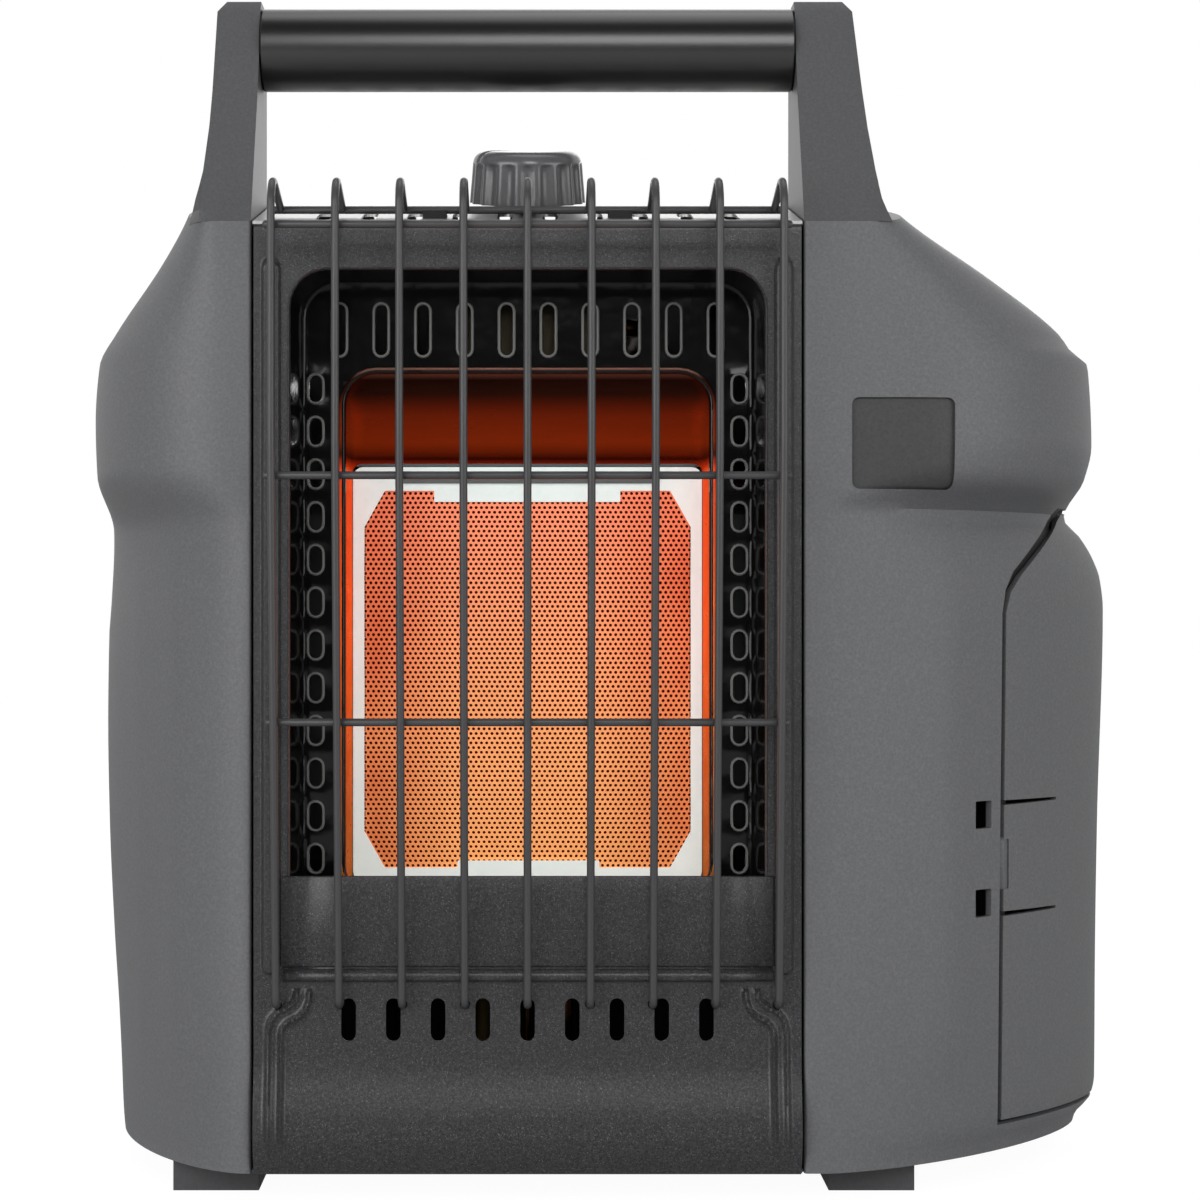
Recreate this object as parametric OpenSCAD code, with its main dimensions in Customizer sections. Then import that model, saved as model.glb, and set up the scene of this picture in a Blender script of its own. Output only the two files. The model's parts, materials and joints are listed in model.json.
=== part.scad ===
// Portable radiant gas heater: two plastic side shells around a steel radiant front.
// The front faces -Y, +X is to the right seen from the front, the feet stand on Z = 0.

/* [Body] */
// Width of the steel front panel between the two shells
panel_w = 181; // [177:1:186]
// Gap between the front panel and each shell
seam = 0.6; // [0.4:0.1:1]
// Height of the roof's front edge above the floor
roof_front = 324; // [320:1:330]
// Length of the sloping front part of the roof
slope_len = 60; // [58:1:64]
// Rise of the sloping front part of the roof
roof_rise = 14.2; // [13:0.2:16]
// Depth of the body from the front panel to the rear cover
body_d = 184; // [182:1:192]
// Width of the left shell beyond the front panel
left_w = 64.4; // [62:0.2:69]
// How far the right shell's shoulder stays behind the fuel door's reach
shoulder_back = 6; // [3:0.5:7]
// Wall of the plastic shells and of the fuel door
wall = 2.5; // [2.2:0.1:3]
// Thickness of the sheet steel parts
sheet = 1; // [0.8:0.1:1.2]
// Thickness of the rear cover
cover_t = 2.5; // [2:0.1:3]
// Clearance between parts that are assembled without touching
clear = 0.3; // [0.25:0.05:0.4]

/* [Feet] */
// Height of the feet
foot_h = 10.5; // [10:0.5:12]
// Width of a foot
foot_w = 29; // [26:1:30]
// Depth of a foot
foot_d = 24; // [22:1:28]
// Distance of the left feet's middle from the front panel's edge
foot_left = 14.6; // [13:0.2:16]
// Distance of the right feet's middle from the front panel's edge
foot_right = 25.6; // [22:0.2:29]
// Depth of the front feet's middle behind the front panel
foot_front_y = 34; // [32:1:38]

/* [Handle] */
// Height of the handle above the floor
handle_top = 404; // [400:1:410]
// Depth of an upright's rear face behind the front panel
upright_rear = 53; // [52:1:55]
// How far the top of an upright leans back
upright_lean = 31; // [29:1:32]
// Thickness of the left upright at its top
upright_left_w = 14.7; // [14:0.5:16]
// Thickness of the right upright at its top
upright_right_w = 19.5; // [18:0.5:21]
// Diameter of the hand grip
grip_dia = 28; // [26:0.5:29]
// Diameter of the steel rod inside the grip
rod_dia = 8; // [7:0.5:9]

/* [Radiant front] */
// Width of the front panel's frame beside the opening
frame_w = 11.5; // [11:0.5:12.5]
// Height of the opening's upper edge above the floor
opening_top = 309; // [307:1:311]
// Corner radius of the opening
opening_r = 13; // [10:1:16]
// Depth of the black pan behind the front panel
pan_d = 28; // [27:1:29]
// Width of the reflector's mouth
mouth_w = 129; // [127:1:131]
// Depth of the reflector behind the pan
reflector_d = 30; // [29:1:31]
// Width of the ceramic burner tile
tile_w = 118; // [116:1:119]
// Height of the ceramic burner tile
tile_h = 142; // [140:1:144]
// Thickness of the ceramic burner tile
tile_t = 13; // [12:1:14]
// Height of the tile's middle above the floor
tile_z = 173.2; // [172:0.4:175]
// Thickness of the gasket around the tile
gasket_t = 1.5; // [1.2:0.1:2]

/* [Guard] */
// Number of upright guard wires
wire_count = 9; // [7:2:9]
// Distance between the guard wires
wire_pitch = 20.6; // [19.6:0.1:20.8]
// Diameter of the guard wires
wire_dia = 2.6; // [2.2:0.1:3]
// How far the guard stands in front of the panel
guard_out = 21; // [18:1:24]

/* [Controls] */
// Diameter of the control knob at its base
knob_dia = 39.5; // [38:0.5:40]
// Height of the control knob
knob_h = 16; // [14:1:18]
// Travel of the knob when it is pushed
push_travel = 3; // [2:0.5:3]
// Diameter of the valve stem
stem_dia = 6; // [5.5:0.5:6.5]
// Radial clearance of a shaft that turns or slides in its bore
fit_clear = 0.05; // [0.02:0.01:0.09]

/* [Fuel bay] */
// Diameter of the gas cylinder that fits the bay
cylinder_dia = 98.5; // [98:0.5:99.5]
// Height of the gas cylinder to the top of its neck
cylinder_h = 208; // [206:1:210]
// Gap between the front panel's edge and the cylinder
bay_gap = 10.25; // [9.75:0.25:11]
// Room between the cylinder and the outside of the fuel door
door_room = 11.75; // [11:0.25:14]
// Diameter of the vent hole under the cylinder
bay_vent = 60; // [40:2:64]
// Room between the cylinder and the rear face of the body
bay_rear = 32.75; // [31:0.25:34]
// Diameter of the socket's bore, the minor diameter of the cylinder thread
socket_bore = 24.3; // [24:0.1:24.6]
// Depth of the socket's bore
socket_depth = 14; // [12:1:15]
// Gap around the fuel door
door_gap = 0.8; // [0.6:0.1:1.2]
// Diameter of the door's hinge pins
pin_dia = 3; // [2.6:0.1:3.2]

/* [Hidden] */

$fn = 48;
// Amount by which a cutter runs past the face that it cuts
over = 1;
// Large length for cutters and half spaces
far = 500;

// Frame: the origin is the middle of the bounding box, on the floor
shell_x = panel_w / 2 + seam;
left_reach = shell_x + left_w;
cylinder_x = panel_w / 2 + bay_gap + cylinder_dia / 2;
cylinder_y = body_d - bay_rear - cylinder_dia / 2;
door_reach = cylinder_x + cylinder_dia / 2 + door_room;
shoulder_reach = door_reach - shoulder_back;
opening_w = panel_w - 2 * frame_w;
foot_left_x = panel_w / 2 + foot_left;
foot_right_x = panel_w / 2 + foot_right;
knuckle_r = pin_dia / 2 + 1.6;
hinge_x = door_reach + 1.5;
right_limit = hinge_x + knuckle_r;
guard_front = guard_out + wire_dia / 2;
screw_head = 2;
rear_limit = body_d + screw_head;
origin_x = (left_reach - right_limit) / 2;
origin_y = (guard_front - rear_limit) / 2;

// Heights
base_z = foot_h;
tray_top = base_z + sheet;
ridge_z = roof_front + roof_rise;
roof_angle = atan(roof_rise / slope_len);
rear_drop = 12;
rear_slope_y = body_d - 30;
cylinder_foot = tray_top + clear;
cylinder_top = cylinder_foot + cylinder_h;
shoulder_base = cylinder_top + 9.2;
shoulder_low = shoulder_base + 13;
shoulder_high = shoulder_low + 40;

// Chassis
wing_x = panel_w / 2 - sheet;
chassis_x = wing_x - sheet;
flange_t = 2.5;
flange_w = 9;
chassis_front = 14;
chassis_rear = body_d - cover_t - flange_t;

// Burner
reflector_y = pan_d;
burner_y = reflector_y + reflector_d;
tile_y = burner_y + gasket_t;
cavity_w = tile_w + 2 * gasket_t + 2;
cavity_h = tile_h + 2 * gasket_t + 1;
housing_w = cavity_w + 2 * sheet;
housing_h = cavity_h + 2 * sheet;
housing_d = 40;
housing_low = tile_z - housing_h / 2;
housing_rear = burner_y + housing_d;
mouth_low = housing_low + sheet;
mouth_high = tile_z + cavity_h / 2;
mouth_rise = 30;
venturi_x = -14;
venturi_y = burner_y + 27;
venturi_r = 11;
throat_r = 7;
venturi_low = 42;
injector_z = 30;
injector_r = 6;

// Controls: the knob's frame has its origin on the roof and its Z along the knob's axis
knob_y = 36;
knob_lift = push_travel + 0.6;
neck_r = 7;
neck_top = -11;
neck_low = -32;
collar_top = -2;
collar_low = -4.5;
collar_r = 6;
arm_w = 12;
plunger_x = chassis_x - 28.5;
plunger_r = 2.5;
igniter_r = 6;
igniter_top = -14;
igniter_low = -56;
terminal_z = 286;
terminal_y = 60;
valve_z = 282;
bracket_z = 306;
valve_half = 22;
valve_front = 35;
valve_rear = 62;
port_z = 294;

// Pipes
pipe_dia = 6;
pilot_dia = 4;
lead_dia = 2.5;
capillary_dia = 2;
bend_r = 9;
drop_burner = venturi_y + 27;
drop_pilot = drop_burner + 12;
drop_thermo = drop_pilot + 10;
drop_lead = drop_thermo + 12;
pilot_y = 46;
pilot_z = 64;
pilot_plate_z = 70;
pilot_x = 14;
electrode_x = 26;
supply_x = plunger_x - 20;
outlet_y = cylinder_y + 12;

// Fuel bay
bay_clear = 1.5;
cradle_r = cylinder_dia / 2 + bay_clear;
socket_r = 17;
neck_in = 12;
socket_z = cylinder_top - neck_in;
plate_z = socket_z + socket_depth + 4;
plate_t = 1.5;
regulator_r = 27;
regulator_low = plate_z + plate_t;
regulator_h = 26;
bonnet_h = 14;
outlet_z = regulator_low + regulator_h / 2;
door_front_x = cylinder_x + 11.75;
door_low = base_z + 6;
door_high = shoulder_base + 0.5;
door_rear = cylinder_y + 38;
hinge_y = door_rear + knuckle_r - 1;
hinge_low = door_low + 45.5;
hinge_high = door_high - 71.5;
knuckle_h = 18;
knuckle_gap = 0.4;
pin_half = knuckle_h + knuckle_gap;
pin_head_h = 1.2;
seat_clear = 0.02;

// Handle
grip_y = 39;
grip_z = handle_top - grip_dia / 2 - 1.7;
bore_in = 9;
bolt_r = 2.4;
bolt_head_r = 4.6;

// ---------- helpers ----------

// Places a part in the common frame
module place() { translate([origin_x, origin_y, 0]) children(); }

// Runs from the roof into the knob's own frame
module knob_frame() {
    translate([0, knob_y, roof_front + knob_y * tan(roof_angle)])
        rotate([roof_angle, 0, 0]) children();
}

// A block between two corners
module block(a, b) { translate(a) cube(b - a); }

// A rod along Z between two heights
module rod(r, low, high) { translate([0, 0, low]) cylinder(r = r, h = high - low); }

// A rod along X between two places
module rod_x(r, x0, x1) { translate([x0, 0, 0]) rotate([0, 90, 0]) cylinder(r = r, h = x1 - x0); }

// A rod along Y between two places
module rod_y(r, y0, y1) { translate([0, y0, 0]) rotate([-90, 0, 0]) cylinder(r = r, h = y1 - y0); }

// Extrudes a drawing in X and Z along Y
module along_y(y0, y1) { translate([0, y1, 0]) rotate([90, 0, 0]) linear_extrude(y1 - y0) children(); }

// Extrudes a drawing in Y and Z along X
module along_x(x0, x1) {
    translate([x0, 0, 0]) rotate([90, 0, 90]) linear_extrude(x1 - x0) children();
}

// Rectangle with round corners
module round_rect(w, h, r) {
    square([w - 2 * r, h], center = true);
    square([w, h - 2 * r], center = true);
    for (x = [-1, 1], y = [-1, 1]) translate([x * (w / 2 - r), y * (h / 2 - r)]) circle(r);
}

// Upright slot with round ends
module slot(w, h) {
    square([w, h - w], center = true);
    for (y = [-1, 1]) translate([0, y * (h - w) / 2]) circle(w / 2);
}

// Bent rod: each step is a straight length, a bend radius, a bend angle and a roll;
// a weld bead of diameter bead closes each joint of a rod that runs at a slant
module bent(steps, d, bead = 0, i = 0) {
    if (i < len(steps)) {
        step = steps[i];
        cylinder(d = d, h = step[0]);
        if (step[2] > 0)
            translate([0, 0, step[0]]) rotate([0, 0, step[3]]) {
                if (bead > 0) sphere(d = bead);
                translate([step[1], 0, 0]) rotate([90, 0, 180])
                    rotate_extrude(angle = step[2]) translate([step[1], 0]) circle(d = d);
                translate([step[1] * (1 - cos(step[2])), 0, step[1] * sin(step[2])])
                    rotate([0, step[2], 0]) {
                        if (bead > 0) sphere(d = bead);
                        bent(steps, d, bead, i + 1);
                    }
            }
    }
}

// ---------- side shells ----------

// Outline of a shell seen from above: straight front, swept corner, straight side, round rear
arc_steps = 8;
rear_steps = 4;
rear_r = 38;
function outline(flat, reach, wide, power) = concat(
    [[shell_x, 0]],
    [for (i = [0:arc_steps])
        let (a = 90 * i / arc_steps, q = 2 / power)
        [flat + (reach - flat) * pow(sin(a), q), wide * (1 - pow(cos(a), q))]],
    [for (i = [0:rear_steps])
        let (a = 90 * i / rear_steps, r = min(rear_r, reach - shell_x - 4))
        [reach - r * (1 - cos(a)), body_d - r + r * sin(a)]],
    [[shell_x, body_d]]);

// Outline moved inwards by w, and open towards the middle of the heater
function inward(p, w) = let (n = len(p)) concat(
    [[shell_x - 2 * over, w]],
    [for (i = [1:n - 2])
        let (u = (p[i] - p[i - 1]) / norm(p[i] - p[i - 1]),
             v = (p[i + 1] - p[i]) / norm(p[i + 1] - p[i]),
             m = [-u[1] - v[1], u[0] + v[0]] / (1 + u * v))
        p[i] + m * w],
    [[shell_x - 2 * over, body_d - w]]);

// Sections of the shells from the bottom up: height, end of the flat front, reach,
// depth of the widest place and power of the front corner's curve
flat_low = shell_x + 1;
left_low = left_reach - 5;
left_wide = body_d / 2;
left_sections = [
    [base_z, flat_low, left_low - 5.5, left_wide - 4, 1.5],
    [base_z + 4, flat_low, left_low - 3.5, left_wide - 2, 1.5],
    [shoulder_base - 109, flat_low, left_low, left_wide, 1.5],
    [shoulder_base - 43, flat_low, left_low, left_wide, 1.5],
    [shoulder_base - 5, flat_low + 1, left_low - 1.5, left_wide - 2, 1.55],
    [shoulder_low + 1, flat_low + 8, left_reach - 0.5, left_wide - 6, 2],
    [shoulder_low + 20, flat_low + 8, left_reach, left_wide - 7, 2],
    [shoulder_high, flat_low + 8, left_reach - 1.5, left_wide - 7, 2],
    [shoulder_high + 10, flat_low + 8, left_reach - 8.5, left_wide - 12, 2],
    [ridge_z - 23.2, flat_low + 10, left_reach - 22.5, left_wide - 26, 2],
    [ridge_z - 8, flat_low + 12, left_reach - 33.5, left_wide - 32, 2],
    [ridge_z, flat_low + 13, left_reach - 38.5, left_wide - 36, 2]];

flat_bay = shell_x + 6.9;
flat_shoulder = shell_x + 30.9;
right_wide = cylinder_y + 6;
shoulder_wide = cylinder_y - 10;
right_sections = [
    [base_z, flat_bay, door_reach - 16, right_wide, 1.4],
    [base_z + 3, flat_bay, door_reach - 13, right_wide, 1.4],
    [base_z + 9, flat_bay, door_reach - 4.5, right_wide, 1.4],
    [base_z + 15.5, flat_bay, door_reach - 3, right_wide, 1.4],
    [shoulder_base - 109, flat_bay, door_reach - 1.5, right_wide, 1.4],
    [shoulder_base - 33, flat_bay, door_reach, right_wide, 1.4],
    [shoulder_base - 22, flat_bay, door_reach - 1.2, right_wide, 1.4],
    [shoulder_base - 15, flat_bay, door_reach - 4, right_wide, 1.4],
    [shoulder_base - 7, flat_bay, door_reach - 9, right_wide - 1, 1.4],
    [shoulder_base, flat_bay, door_reach - 15, right_wide - 3, 1.42],
    [shoulder_low, flat_shoulder - 4, shoulder_reach - 4, shoulder_wide, 1.95],
    [shoulder_low + 12, flat_shoulder, shoulder_reach, shoulder_wide, 2],
    [shoulder_high, flat_shoulder, shoulder_reach, shoulder_wide, 2],
    [shoulder_high + 5, flat_shoulder, shoulder_reach - 6, shoulder_wide - 2, 2],
    [shoulder_high + 10, flat_shoulder - 1, shoulder_reach - 15, shoulder_wide - 6, 2],
    [ridge_z - 29.2, flat_shoulder - 4, shoulder_reach - 35, shoulder_wide - 16, 2],
    [ridge_z - 12.2, flat_shoulder - 10, shoulder_reach - 62, shoulder_wide - 28, 2],
    [ridge_z, flat_shoulder - 12, shoulder_reach - 81, shoulder_wide - 34, 2]];

// Solid through a stack of outlines; inset 0 gives the outside, the wall gives the inside
module loft(sections, inset) {
    m = len(sections);
    rings = [for (s = sections)
        let (p = outline(s[1], s[2], s[3], s[4])) inset > 0 ? inward(p, inset) : p];
    n = len(rings[0]);
    points = [for (k = [0:m - 1]) for (q = rings[k])
        [q[0], q[1], sections[k][0] - (inset > 0 && k == 0 ? over : 0)]];
    sides = [for (k = [0:m - 2]) for (i = [0:n - 1])
        let (a = k * n + i, b = k * n + (i + 1) % n)
        each [[a, a + n, b], [b, a + n, b + n]]];
    polyhedron(points, concat([[for (i = [0:n - 1]) i]],
        [[for (i = [n - 1:-1:0]) (m - 1) * n + i]], sides));
}

// Half space under the roof, lowered by w
module under_roof(w, x0, x1) {
    drop = w / cos(roof_angle);
    along_x(x0, x1) polygon([
        [-over, 0], [body_d + over, 0],
        [body_d + over, ridge_z - rear_drop - drop],
        [body_d, ridge_z - rear_drop - drop],
        [rear_slope_y, ridge_z - drop],
        [slope_len, ridge_z - drop],
        [-over, roof_front - over * tan(roof_angle) - drop]]);
}

// Hollow shell with a fastening flange behind the rear cover
module shell(sections, reach) {
    flange_y = body_d - cover_t - flange_t;
    difference() {
        intersection() {
            loft(sections, 0);
            under_roof(0, 0, reach + far);
        }
        intersection() {
            loft(sections, wall);
            translate([0, 0, -over]) under_roof(wall - over, 0, reach + far);
        }
    }
    difference() {
        union() {
            block([shell_x - flange_w, flange_y, 24], [shell_x + 4, flange_y + flange_t, 316]);
            block([shell_x, flange_y, 24], [shell_x + 4, body_d - wall / 2, 316]);
        }
        for (z = rear_screw_z) translate([rear_screw_x, 0, z])
            rod_y(screw_r + clear / 2, flange_y - over, body_d);
    }
}

rear_screw_x = shell_x - flange_w / 2;
rear_screw_z = [40, 170, 300];
screw_r = 1.7;

module left_shell() {
    place() color("#5f6062") mirror([1, 0, 0]) shell(left_sections, left_reach);
}

// Outline of the door in X and Z, grown by g
module door_zone(g) {
    polygon([
        [door_front_x - g, door_low - g],
        [far, door_low - g],
        [far, door_high + g],
        [door_front_x + 26.5, door_high + g],
        [door_front_x + 7 - g, door_high - 21.5 + g / 2],
        [door_front_x + 3 - g, door_high - 27.5 + g / 2],
        [door_front_x + 1.5 - g, door_high - 34.5]]);
}

badge_w = 34.4;
badge_h = 30.2;
badge_x = shell_x + 32.9;
badge_z = shoulder_low + 9;
badge_floor = 1.9;
badge_turn = 2.5;
window_w = 5.2;
window_h = 9.4;
window_x = door_front_x - 6.8;
window_z = [96.4, 126.4];

module right_shell() {
    place() color("#616264") difference() {
        shell(right_sections, door_reach);
        along_y(-over, door_rear + door_gap) door_zone(door_gap);
        translate([badge_x, badge_floor, badge_z]) rotate([0, 0, badge_turn])
            along_y(-far, 0) round_rect(badge_w, badge_h, 2.4);
        for (z = window_z) translate([window_x, 0, z])
            along_y(0, 60) square([window_w, window_h], center = true);
        for (z = [hinge_low, hinge_high])
            block([door_reach - 6, door_rear, z - knuckle_h / 2 - knuckle_gap],
                [far, hinge_y + knuckle_r + knuckle_gap, z + knuckle_h / 2 + knuckle_gap]);
        for (z = [hinge_low, hinge_high])
            translate([hinge_x, hinge_y, z + pin_half]) cylinder(r = knuckle_r, h = pin_head_h + knuckle_gap);
    }
    place() color("#616264") for (z = [hinge_low, hinge_high]) for (s = [-1, 1])
        translate([hinge_x, hinge_y, z + s * (knuckle_h / 2 + knuckle_gap + knuckle_h / 4)])
            difference() {
                union() {
                    cylinder(r = knuckle_r, h = knuckle_h / 2, center = true);
                    translate([-knuckle_r - 1.4, 0, -knuckle_h / 4])
                        cube([knuckle_r + 1.4, knuckle_r, knuckle_h / 2]);
                }
                cylinder(r = pin_dia / 2 + seat_clear, h = knuckle_h, center = true);
            }
}

module fuel_door() {
    tongue_slits = [window_z[0] - 4.4, window_z[1] + 3.6];
    place() color("#636466") difference() {
        union() {
            intersection() {
                difference() {
                    loft(right_sections, 0);
                    loft(right_sections, wall);
                }
                along_y(-over, door_rear) door_zone(0);
            }
            for (z = [hinge_low, hinge_high]) translate([hinge_x, hinge_y, z]) {
                cylinder(r = knuckle_r, h = knuckle_h, center = true);
                translate([-knuckle_r - 1.4, -knuckle_r - 4, -knuckle_h / 2])
                    cube([knuckle_r + 1.4, knuckle_r + 4, knuckle_h]);
            }
        }
        for (z = [hinge_low, hinge_high]) translate([hinge_x, hinge_y, z])
            cylinder(r = pin_dia / 2 + fit_clear, h = 2 * knuckle_h, center = true);
        for (z = [hinge_low, hinge_high]) for (s = [-1, 1])
            translate([hinge_x, hinge_y, z + s * (3 * knuckle_h / 4 + knuckle_gap)])
                cylinder(r = knuckle_r + knuckle_gap, h = knuckle_h / 2 + 2 * knuckle_gap, center = true);
        for (z = tongue_slits)
            block([door_front_x - over, 0, z - 0.6], [door_front_x + 23.5, door_rear / 2, z + 0.6]);
    }
}

module door_hinge_pins() {
    place() color("#9a9a9a") for (z = [hinge_low, hinge_high])
        translate([hinge_x, hinge_y, z]) {
            rod(pin_dia / 2, -pin_half, pin_half);
            rod(knuckle_r - 0.6, pin_half, pin_half + pin_head_h);
        }
}

// ---------- chassis ----------

module base_tray() {
    left = inward(outline(left_sections[0][1], left_sections[0][2], left_sections[0][3],
        left_sections[0][4]), wall + clear);
    right = inward(outline(right_sections[0][1], right_sections[0][2], right_sections[0][3],
        right_sections[0][4]), wall + clear);
    place() color("#6f7072") difference() {
        translate([0, 0, base_z]) linear_extrude(sheet) {
            difference() {
                union() {
                    polygon(concat(right,
                        [for (i = [len(left) - 1:-1:0]) [-left[i][0], left[i][1]]]));
                    translate([-panel_w / 2, sheet]) square([panel_w, chassis_rear / 2]);
                }
                translate([-far / 2, chassis_rear]) square(far);
            }
        }
        for (p = foot_places) translate([p[0], p[1], 0]) rod(screw_r + clear / 2, 0, far);
        at_cylinder() rod(bay_vent / 2, 0, far);
    }
}

foot_rear_y = body_d - 26;
foot_places = [for (x = [-foot_left_x, foot_right_x]) for (y = [foot_front_y, foot_rear_y]) [x, y]];

module feet() {
    place() color("#3f4042") for (p = foot_places) translate([p[0], p[1], 0]) difference() {
        translate([-foot_w / 2, -foot_d / 2, 0]) cube([foot_w, foot_d, foot_h]);
        rod(screw_r + clear / 2, -over, foot_h + over);
        rod(4, -over, 4);
    }
}

module foot_screws() {
    place() color("#b8b8b4") for (p = foot_places) translate([p[0], p[1], 0]) {
        rod(3.2, 4 - screw_head, 4);
        rod(screw_r, 4, tray_top + 5);
        rod(3.2, tray_top, tray_top + 2.4);
    }
}

// Side wall of the fire box, with a flange for the rear cover's screws
module chassis_side() {
    difference() {
        union() {
            intersection() {
                block([chassis_x, sheet, tray_top], [wing_x, chassis_rear, far]);
                under_roof(sheet, 0, far);
            }
            block([chassis_x - flange_w - 4, chassis_rear - sheet, 24], [chassis_x, chassis_rear, 316]);
            block([chassis_x - 12, chassis_front, tray_top], [chassis_x, chassis_rear, tray_top + sheet]);
        }
        for (z = rear_screw_z) translate([rear_screw_x, 0, z])
            rod_y(screw_r + clear / 2, chassis_rear - 2 * sheet, far);
    }
}

module chassis_side_left() { place() color("#8a8b8c") mirror([1, 0, 0]) chassis_side(); }

module chassis_side_right() {
    place() color("#8a8b8c") difference() {
        chassis_side();
        translate([0, outlet_y, outlet_z]) rod_x(pipe_dia / 2 + 1.5, 0, far);
    }
}

module rear_cover() {
    cover_top = ridge_z - rear_drop - sheet - clear;
    place() color("#4e4f51") difference() {
        block([-panel_w / 2, body_d - cover_t, base_z], [panel_w / 2, body_d, cover_top]);
        for (x = [-2:2]) for (i = [0:5]) translate([x * 28, 0, 60 + i * 12])
            along_y(chassis_rear, far) rotate(90) slot(4, 22);
        for (x = [-2:2]) for (i = [0:4]) translate([x * 28, 0, 238 + i * 12])
            along_y(chassis_rear, far) rotate(90) slot(4, 22);
        for (x = [-1, 1]) for (z = rear_screw_z) translate([x * rear_screw_x, 0, z])
            rod_y(screw_r + clear / 2, chassis_rear, far);
    }
}

module rear_screws() {
    place() color("#a9a9a6") for (x = [-1, 1]) for (z = rear_screw_z)
        translate([x * rear_screw_x, 0, z]) {
            rod_y(3.4, body_d, body_d + screw_head);
            rod_y(screw_r, chassis_rear - 6, body_d);
        }
}

// Sheet roof over the fire box, with the front row of vents and the valve's opening
module top_plate() {
    vent_pitch = 15.1;
    vent_l = 22;
    place() color("#c9c9c6") difference() {
        intersection() {
            difference() {
                under_roof(0, -panel_w / 2, panel_w / 2);
                under_roof(sheet, -far, far);
            }
            block([-far, 0.5, 0], [far, body_d, far]);
        }
        for (i = [-4.5:4.5]) translate([i * vent_pitch, 16, 0]) linear_extrude(far) slot(5, vent_l);
        for (i = [-4.5:4.5]) for (y = [84, 116]) translate([i * vent_pitch, y, 0])
            linear_extrude(far) slot(5, 24);
        knob_frame() rod(neck_r + over, -20, 20);
        for (s = [-1, 1]) clip_frame(s * clip_x) translate([0, clip_screw, 0])
            rod(screw_r + clear / 2, -10, 10);
    }
}

// ---------- radiant front ----------

panel_top = roof_front - 2.2;
lower_slot_z = 61.2;
wire_hole_z = 66.3;
opening_low = 84;
lip_low = 77.9;
lip_high = 108.6;
rib_x = 84.4;
rib_w = 6.3;
rib_out = 1.2;

// Raised rib: the part of a large rod that stands out of the sheet
rib_r = (rib_w * rib_w / 4 + rib_out * rib_out) / (2 * rib_out);
module rib(low, high) {
    intersection() {
        translate([0, rib_r - rib_out, 0]) rod(rib_r, low, high);
        block([-rib_w, -rib_w, low], [rib_w, sheet / 2, high]);
    }
}

module front_panel() {
    place() color("#3c3c3e") difference() {
        union() {
            block([-panel_w / 2, 0, base_z], [panel_w / 2, sheet, panel_top]);
            for (s = [-1, 1]) translate([s * (panel_w / 2 - sheet / 2), 0, 0])
                block([-sheet / 2, 0, tray_top], [sheet / 2, chassis_front, panel_top]);
            for (s = [-1, 1]) translate([s * rib_x, 0, 0]) rib(75.6, 312);
            for (s = [-1, 1]) translate([s * (rib_x - 1), 0, 0]) rib(18, 56);
        }
        translate([0, 0, (opening_top + opening_low) / 2]) along_y(-2 * over, far)
            round_rect(opening_w, opening_top - opening_low, opening_r);
        for (i = [-4:4]) translate([i * 14.72, 0, lower_slot_z])
            along_y(-over, chassis_front) slot(4.85, 14.2);
        for (i = wire_index) translate([i * wire_pitch, 0, wire_hole_z])
            rod_y(wire_dia / 2 + clear, -over, chassis_front / 2);
    }
}

module lip_plate() {
    place() color("#3d3d3f") {
        block([-81, -sheet, lip_low + 1], [81, 0, lip_high]);
        translate([0, 0, lip_low + 1]) rotate([0, 90, 0])
            translate([0, 0, -81]) intersection() {
                cylinder(r = sheet, h = 162);
                translate([-far / 2, -far, 0]) cube([far, far, 162]);
            }
    }
}

module enamel_pan() {
    pan_top = opening_top + 2;
    pan_low = opening_low - 6;
    pan_w = opening_w + 4;
    rim = 2.5;
    window_low = mouth_low;
    window_high = mouth_high + mouth_rise;
    pan_z = (pan_top + pan_low) / 2;
    place() color("#0c0c0c") difference() {
        union() {
            translate([0, 0, pan_z]) along_y(sheet, pan_d)
                round_rect(pan_w, pan_top - pan_low, opening_r + 2);
            translate([0, 0, pan_z]) along_y(sheet, 2 * sheet)
                round_rect(pan_w + 2 * rim, pan_top - pan_low + 2 * rim, opening_r + 2 + rim);
        }
        translate([0, 0, pan_z]) along_y(0, pan_d - sheet)
            round_rect(pan_w - 2 * sheet, pan_top - pan_low - 2 * sheet, opening_r + 1);
        translate([0, 0, (window_low + window_high) / 2]) along_y(0, far)
            round_rect(mouth_w - 2 * sheet, window_high - window_low, 4);
        for (i = [-4.5:4.5]) translate([i * 14.2, 0, 291]) along_y(pan_d - 2 * sheet, far) slot(5.6, 19);
        for (s = [-1, 1]) for (i = [0:11]) translate([s * 72, 0, 271 - i * 14.5])
            along_y(pan_d - 2 * sheet, far) slot(6, 11);
    }
}

// Wedge between the pan and the burner, of half width w and grown by g above and below
module wedge(w, g, y0, y1) {
    slope = mouth_rise / reflector_d;
    along_x(-w, w) polygon([
        [y0, mouth_low - g], [y1, mouth_low - g],
        [y1, mouth_high + g + slope * (burner_y - y1)],
        [y0, mouth_high + g + slope * (burner_y - y0)]]);
}

// The reflector's plan: it narrows from its mouth to the burner; inset by w
module taper(w) {
    a = mouth_w / 2 - w;
    b = housing_w / 2 - w;
    slope = (a - b) / reflector_d;
    linear_extrude(far) polygon([
        [-a - slope * over, reflector_y - over], [a + slope * over, reflector_y - over],
        [b - slope * over, burner_y + over], [slope * over - b, burner_y + over]]);
}

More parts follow.
